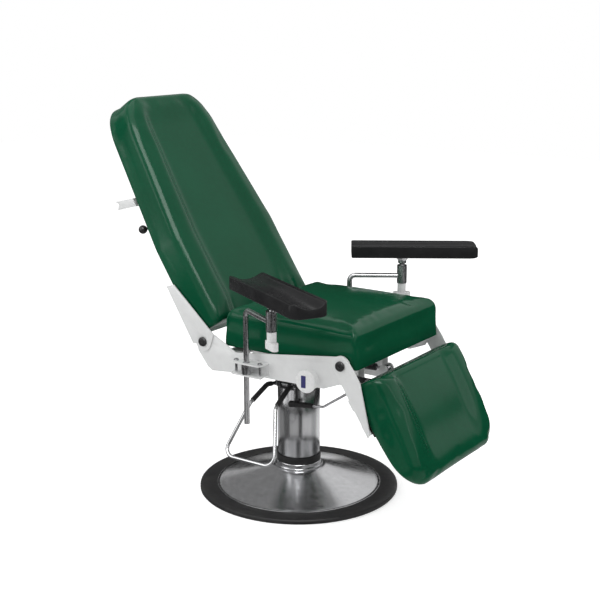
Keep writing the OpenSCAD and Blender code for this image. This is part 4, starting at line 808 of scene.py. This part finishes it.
def armrest(side):
    """What carries one arm pad: collar, bent rod with its sleeve, stem with its ball, knob and socket."""
    place = ARM[side]
    head = place @ Matrix.Translation((ROD_REACH, 0, 0))
    collar = [(8.55, 451), (11, 451), (11, 455.5), (14.4, 455.5), (15, 456.1), (15, 485.9), (14.4, 486.5),
              (11, 486.5), (11, 491), (8.55, 491)]
    piece(moved(turned(collar, 48), place),
          f"swivel_collar_{side}", "bright_steel", f"arm_collar_{side}", sharp=30)
    run = [(0, 0, 296), (0, 0, ROD_Z), (ROD_REACH, 0, ROD_Z)]
    rod = moved(bent_rod(run, 17.0, 20.0, 36, 12, 1.4), place)
    sleeve = [(12.05, 630), (15.7, 630), (16.5, 630.8), (16.5, 687.2), (15.7, 688), (12.05, 688)]
    # the rod stops at the sleeve's wall, so that the stem runs free in its bore
    piece(joined(rod_end_cut(rod, place), moved(turned(sleeve, 48), head)),
          f"armrest_post_{side}", "bright_steel", f"arm_post_{side}", sharp=34)
    stem = [(0, 588), (5.4, 588), (6, 588.6), (6, 632), (12, 632), (12, 688.5), (16, 688.5), (16.5, 689),
            (16.5, 691.4), (16, 692), (7.5, 692), (7.5, 694.6)]
    ball_r = 12
    stem += [(ball_r * math.sin(math.radians(a)), BALL_Z - ball_r * math.cos(math.radians(a)))
             for a in range(40, 171, 10)]
    piece(moved(turned(stem + [(0, BALL_Z + ball_r)], 48), head),
          f"pad_post_{side}", "chrome", f"pad_stem_{side}", sharp=32)
    hub = [(6.05, 599.5), (6.05, 629.5), (12.6, 629.5), (13.6, 629), (14, 628), (14, 601.5), (13.4, 600),
           (11.5, 599.2)]
    wings = sheet_cut([(-29, -11), (29, -11), (29, 11), (-29, 11)], 24.0, range(4), 10.9, 3.2, 4)
    piece(moved(joined(turned(hub, 56), moved(wings, Matrix.Translation((0, 0, 575.6)))), head),
          f"clamp_knob_{side}", "white_plastic", f"wing_knob_{side}", sharp=40)
    socket = [(0, 716.1), (6, 714.6), (10.5, 710.0), (12.1, BALL_Z), (11.2, 699.6), (12.6, 699),
              (13.4, 699.2), (14, 700), (14, 708), (23.6, 720.6), (24, 721.4), (24, 724.4),
              (23.4, PAD_Z), (0, PAD_Z)]
    piece(moved(turned(socket, 56), head),
          f"pad_seat_{side}", "bright_steel", f"pad_socket_{side}", sharp=34)


def rod_end_cut(bm, place):
    """Cuts the level run of an armrest rod back to its sleeve."""
    out = place.to_3x3() @ Vector((1.0, 0.0, 0.0))
    at = place @ Vector((ROD_REACH - 13.0, 0.0, ROD_Z))
    cut = sliced(bm, at, out, clear=True)
    rim = [g for g in cut["geom_cut"] if isinstance(g, bmesh.types.BMEdge)]
    bmesh.ops.edgeloop_fill(bm, edges=rim)
    return bm


def arm_pad(side):
    """A moulded pad: square at the back, round corners in front, a long trough along its top."""
    long, half, thick = 421, 57, 40.0
    front_r, rear_r, rim_r = 34.0, 7.0, 6.0
    trough_half, trough_deep, rear_x = 45.0, 15.0, 5.0
    bm = bmesh.new()
    corners = [bm.verts.new((x, y, 0.0)) for x, y in ((0, -half), (long, -half), (long, half), (0, half))]
    bm.faces.new(corners)
    rounded_corners(bm, corners[1:3], front_r, 12)
    bm.verts.ensure_lookup_table()
    rounded_corners(bm, [v for v in bm.verts if v.co.x < 1.0], rear_r, 5)
    thickened(bm, thick)
    curve = (trough_half * trough_half + trough_deep * trough_deep) / (2.0 * trough_deep)
    for i in range(-12, 13):
        sliced(bm, (0, i * trough_half / 12.0, 0), (0, 1, 0))
    for v in bm.verts:
        if v.co.z > thick - 1.0 and abs(v.co.y) < trough_half + 0.01:
            v.co.z = thick + curve - trough_deep - math.sqrt(max(0.0, curve * curve - v.co.y * v.co.y))
    rims = [e for e in bm.edges if len(e.link_faces) == 2
            and sum(abs(f.normal.z) < 0.3 for f in e.link_faces) == 1
            and e.calc_face_angle(0.0) > math.radians(45)]
    bmesh.ops.bevel(bm, geom=rims, offset=rim_r, offset_type="OFFSET", segments=4, profile=0.5,
                    affect="EDGES", clamp_overlap=True, material=-1)
    pad = piece(moved(bm, ARM[side] @ Matrix.Translation((rear_x, 0.0, PAD_Z))),
                f"foam_pad_{side}", "black_foam", f"arm_pad_{side}", sharp=40)


# Cushions

# Sizes of the three covers, as drawn: length, and how far the rounding reaches in at an end or a corner
SEAT_L, SEAT_END = 487.0, 23.0
BACK_L, BACK_END, BACK_CORNER = 804.0, 19.0, 116.0
LEG_L, LEG_TOP_END, LEG_LOW_END, LEG_CURL = 340.0, 28.0, 18.0, 175.0
SHARES = [i / 22 for i in range(23)]
ARC = [1.0 - math.cos(math.radians(a)) for a in (0, 14, 27, 39, 51, 63, 76, 90)]


def eased(t):
    """A soft step from 0 to 1."""
    t = min(1.0, max(0.0, t))
    return t * t * (3.0 - 2.0 * t)


def bolster(share):
    """From 0 in the hollow of a cushion to 1 on the crest of its side bolster."""
    return eased((share - 0.56) / 0.27)


def edge_drop(inset, r):
    """How far a rounded edge of radius r has fallen away at an inset from the end."""
    return 0.0 if inset >= r else r - math.sqrt(max(0.0, r * r - (r - inset) ** 2))


def cover_section(half, low, high, r, rise):
    """Bottom, right side, top and left side of a cushion's cross section, once round."""
    r = min(r, (high - low) * 0.7)
    rim, pull = min(4.0, (high - low) * 0.2), 5.0
    side = [(half - pull - rim + rim * math.sin(a), low + rim - rim * math.cos(a))
            for a in (0.8, math.pi / 2)]
    foot, head = low + rim, high - r
    side += [(half - pull * (1.0 - u) ** 2, foot + (head - foot) * u) for u in (0.2, 0.4, 0.6, 0.8, 1.0)]
    side += [(half - r + r * math.cos(a), head + r * math.sin(a)) for a in (0.26, 0.52, 0.79, 1.05, 1.31)]
    inside = half - pull - rim
    bottom = [(-t * inside, low) for t in reversed(SHARES)] + [(t * inside, low) for t in SHARES[1:]]
    top = [(t * (half - r), high + rise(t)) for t in reversed(SHARES)]
    top += [(-y, z) for y, z in reversed(top[:-1])]
    return bottom + side + top + [(-y, z) for y, z in reversed(side)]


def cover_end(loop):
    """Rows of points that close a section: flat between its four sides."""
    n = 2 * (len(SHARES) - 1) + 1
    s = (len(loop) - 2 * n) // 2
    bottom, top = loop[:n], loop[n + s:2 * n + s][::-1]
    right = [bottom[-1]] + loop[n:n + s] + [top[-1]]
    left = [bottom[0]] + loop[2 * n + s:][::-1] + [top[0]]
    rows = []
    for j in range(1, s + 1):
        v = j / (s + 1)
        rows.append([])
        for i in range(1, n - 1):
            u = i / (n - 1)
            rows[-1].append(tuple(
                (1 - v) * bottom[i][k] + v * top[i][k] + (1 - u) * left[j][k] + u * right[j][k]
                - (1 - u) * ((1 - v) * bottom[0][k] + v * top[0][k])
                - u * ((1 - v) * bottom[-1][k] + v * top[-1][k]) for k in (0, 1)))
    return rows


def spread(marks, ends, step=13.0):
    """Places along a cushion: close together at its rounded ends and even between them."""
    low, high = ends
    inner = round((high - low) / step)
    places = sorted(marks + [low + (high - low) * i / inner for i in range(inner + 1)])
    kept = [places[0]]
    for at in places[1:]:
        if at - kept[-1] > 0.8:
            kept.append(at)
    return kept


def seat_cover(x):
    """The seat's section at x from its rear end: flat sides and a crowned top."""
    half, low, high, corner_r, edge_r, rise = 249.0, 515.0, 633.0, 11.0, 22.0, 18.0
    inset = min(x, SEAT_L - x)
    drop = edge_drop(inset, SEAT_END)
    crown = rise * (1.0 - (2.0 * x / SEAT_L - 1.0) ** 2)
    return cover_section(half - edge_drop(inset, corner_r), low, high - drop, edge_r,
                         lambda t: crown * (1.0 - t * t))


def back_cover(z):
    """The back's section at z from its foot: bolsters that fade into a tapered, round-cornered top."""
    foot_half, narrowing, corner_in, deep = 256.0, 51.0, 90.0, 18.0
    rear, front, edge_r, skin = -110.0, -1.0, 26.0, 1.0
    corner = max(0.0, z - (BACK_L - BACK_CORNER)) / BACK_CORNER
    taper = min(1.0, max(0.0, (z / BACK_L - 0.375) / 0.533))
    half = foot_half - narrowing * taper - corner_in * (1.0 - math.sqrt(max(0.0, 1.0 - corner * corner)))
    drop = edge_drop(min(z, BACK_L - z), BACK_END)
    fade = eased((BACK_L - z) / BACK_CORNER)
    if z < BACK_L / 2.0:
        half -= drop * 0.6
    return cover_section(half - skin, rear, front - drop, edge_r,
                         lambda t: -deep * fade * (1.0 - bolster(t)))


def leg_cover(x):
    """The leg rest's section at x from its top end: it thins towards a curled, round-cornered end."""
    tip_low, thinning, front, fall, deep = -54.0, 31.0, 26.0, 54.0, 20.0
    full_half, low_corner, top_corner, edge_r = 255.0, 76.0, 12.0, 26.0
    curl = max(0.0, x - (LEG_L - LEG_CURL)) / LEG_CURL
    low = tip_low - thinning * math.sqrt(max(0.0, 1.0 - curl * curl))
    drop = edge_drop(x, LEG_TOP_END) + edge_drop(LEG_L - x, LEG_LOW_END)
    fade = eased((LEG_L - x) / 150.0) * eased(x / 30.0)
    half = full_half - edge_drop(LEG_L - x, low_corner) - edge_drop(x, top_corner)
    return cover_section(half, low, front - fall * (x / LEG_L) ** 2 - drop, edge_r,
                         lambda t: -deep * fade * (1.0 - bolster(t)))


SWELL_FRAMES = 20


class Cushion:
    """A vinyl cover that swells a little over its foam while its board holds it underneath."""

    def __init__(self, node, name, place, rings, cover, point, under):
        self.node, self.name, self.place = node, name, place
        bm = bmesh.new()
        loops = [[bm.verts.new(point(x, y, z)) for y, z in cover(x)] for x in rings]
        m = len(loops[0])
        for one, two in zip(loops, loops[1:]):
            for i in range(m):
                bm.faces.new((one[i], one[(i + 1) % m], two[(i + 1) % m], two[i]))
        for x, loop in ((rings[0], loops[0]), (rings[-1], loops[-1])):
            flat = cover_end(cover(x))
            n, s = len(flat[0]) + 2, len(flat)
            rows = [loop[:n]]
            for j, row in enumerate(flat):
                across = [bm.verts.new(point(x, y, z)) for y, z in row]
                rows.append([loop[m - 1 - j]] + across + [loop[n + j]])
            rows.append(loop[n + s:2 * n + s][::-1])
            for lower, upper in zip(rows, rows[1:]):
                for i in range(n - 1):
                    bm.faces.new((lower[i], lower[i + 1], upper[i + 1], upper[i]))
        bmesh.ops.recalc_face_normals(bm, faces=bm.faces)
        held = [i for i, v in enumerate(bm.verts) if under(v.co)]
        bmesh.ops.transform(bm, matrix=Matrix.Scale(0.001, 4) @ place, verts=bm.verts)
        mesh = bpy.data.meshes.new(name)
        bm.to_mesh(mesh)
        bm.free()
        self.thing = bpy.data.objects.new(name, mesh)
        scene.collection.objects.link(self.thing)
        self.thing.vertex_groups.new(name="held").add(held, 1.0, "REPLACE")
        cloth = self.thing.modifiers.new("swell", "CLOTH")
        cloth.settings.quality = 5
        cloth.settings.mass = 0.3
        cloth.settings.use_pressure = True
        cloth.settings.uniform_pressure_force = 4.0
        cloth.settings.effector_weights.gravity = 0.0
        cloth.settings.vertex_group_mass = "held"
        cloth.settings.tension_stiffness = 25.0
        cloth.settings.compression_stiffness = 25.0
        cloth.settings.bending_stiffness = 1.5
        cloth.collision_settings.use_collision = False
        cloth.collision_settings.use_self_collision = False
        cloth.point_cache.frame_start = 1
        cloth.point_cache.frame_end = SWELL_FRAMES

    def settled(self):
        """Makes the modifiers so far part of the mesh."""
        bpy.context.view_layer.update()
        graph = bpy.context.evaluated_depsgraph_get()
        mesh = bpy.data.meshes.new_from_object(self.thing.evaluated_get(graph))
        old = self.thing.data
        self.thing.modifiers.clear()
        self.thing.data = mesh
        bpy.data.meshes.remove(old)

    def reach(self, mesh):
        """Limits of a mesh in millimetres along the cushion's own axes."""
        home = self.place.inverted()
        local = [home @ (v.co * 1000.0) for v in mesh.vertices]
        return [(min(p[k] for p in local), max(p[k] for p in local)) for k in range(3)]

    def finished(self, cap, fill, grown):
        """Keeps the swell under a cap, fits it to the solid's limits, and hands the cover over."""
        home = self.place.inverted()
        still = [v.co.copy() for v in self.thing.data.vertices]
        self.settled()
        for v, start in zip(self.thing.data.vertices, still):
            move = v.co - start
            if move.length > cap:
                v.co = start + move * (cap / move.length)
        made = self.reach(self.thing.data)
        cad = self.reach(solids[self.node].data)
        goal = [(c[0] - g[0], c[1] + g[1]) for c, g in zip(cad, grown)]
        for v in self.thing.data.vertices:
            p = home @ (v.co * 1000.0)
            fit = [g[0] + (p[k] - m[0]) * (g[1] - g[0]) / (m[1] - m[0])
                   for k, (g, m) in enumerate(zip(goal, made))]
            v.co = (self.place @ Vector(fit)) * 0.001
        fine = self.thing.modifiers.new("fine", "SUBSURF")
        fine.levels = fine.render_levels = 1
        self.settled()
        self.thing.data.name = self.name
        for face in self.thing.data.polygons:
            face.use_smooth = True
        self.thing.data.materials.clear()
        self.thing.data.materials.append(FINISHES["green_vinyl"])
        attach(self.thing, body_of(self.node))
        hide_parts(self.node)


def cushions():
    """Makes the three covers, lets them swell together and finishes each."""
    sines = [math.sin(math.radians(a)) for a in range(0, 90, 7)]
    back_even, leg_even = BACK_L - BACK_CORNER, LEG_L - LEG_CURL
    seat_rings = spread([SEAT_END * e for e in ARC] + [SEAT_L - SEAT_END * e for e in ARC],
                        (SEAT_END, SEAT_L - SEAT_END))
    back_rings = spread([BACK_END * e for e in ARC] + [BACK_L - BACK_END * e for e in ARC]
                        + [back_even + BACK_CORNER * s for s in sines], (BACK_END, back_even))
    leg_rings = spread([LEG_TOP_END * e for e in ARC] + [LEG_L - LEG_LOW_END * e for e in ARC]
                       + [leg_even + LEG_CURL * s for s in sines], (LEG_TOP_END, leg_even))
    made = [Cushion("seat_cushion", "seat_cover", Matrix.Identity(4), seat_rings, seat_cover,
                    lambda x, y, z: (x - 112.0, y, z), lambda p: p.z < 517.0),
            Cushion("back_cushion", "back_cover", BACK, back_rings, back_cover,
                    lambda z, y, x: (x, y, z), lambda p: p.x < -108.0),
            Cushion("leg_cushion", "leg_cover", LEG, leg_rings, leg_cover,
                    lambda x, y, z: (x - 13.0, y, z), lambda p: p.z < -80.0)]
    for step in range(1, SWELL_FRAMES + 1):
        scene.frame_set(step)
    # how far each cover reaches past its solid, low and high along its own X, Y and Z, in millimetres
    growth = (((0, 0.5), (0.5, 0.5), (0, 1)),
              ((0, 1), (0.5, 0.5), (0.5, 1)),
              ((0.5, 1), (0.5, 0.5), (0, 1)))
    for cushion, grown in zip(made, growth):
        cushion.finished(cap=0.007, fill=0.9, grown=grown)
    scene.frame_set(1)


base()
column()
frame_steel()
caps()
bracket_screws()
boards()
pedal()
levers()
springs()
for side in ARM:
    armrest(side)
    arm_pad(side)
cushions()
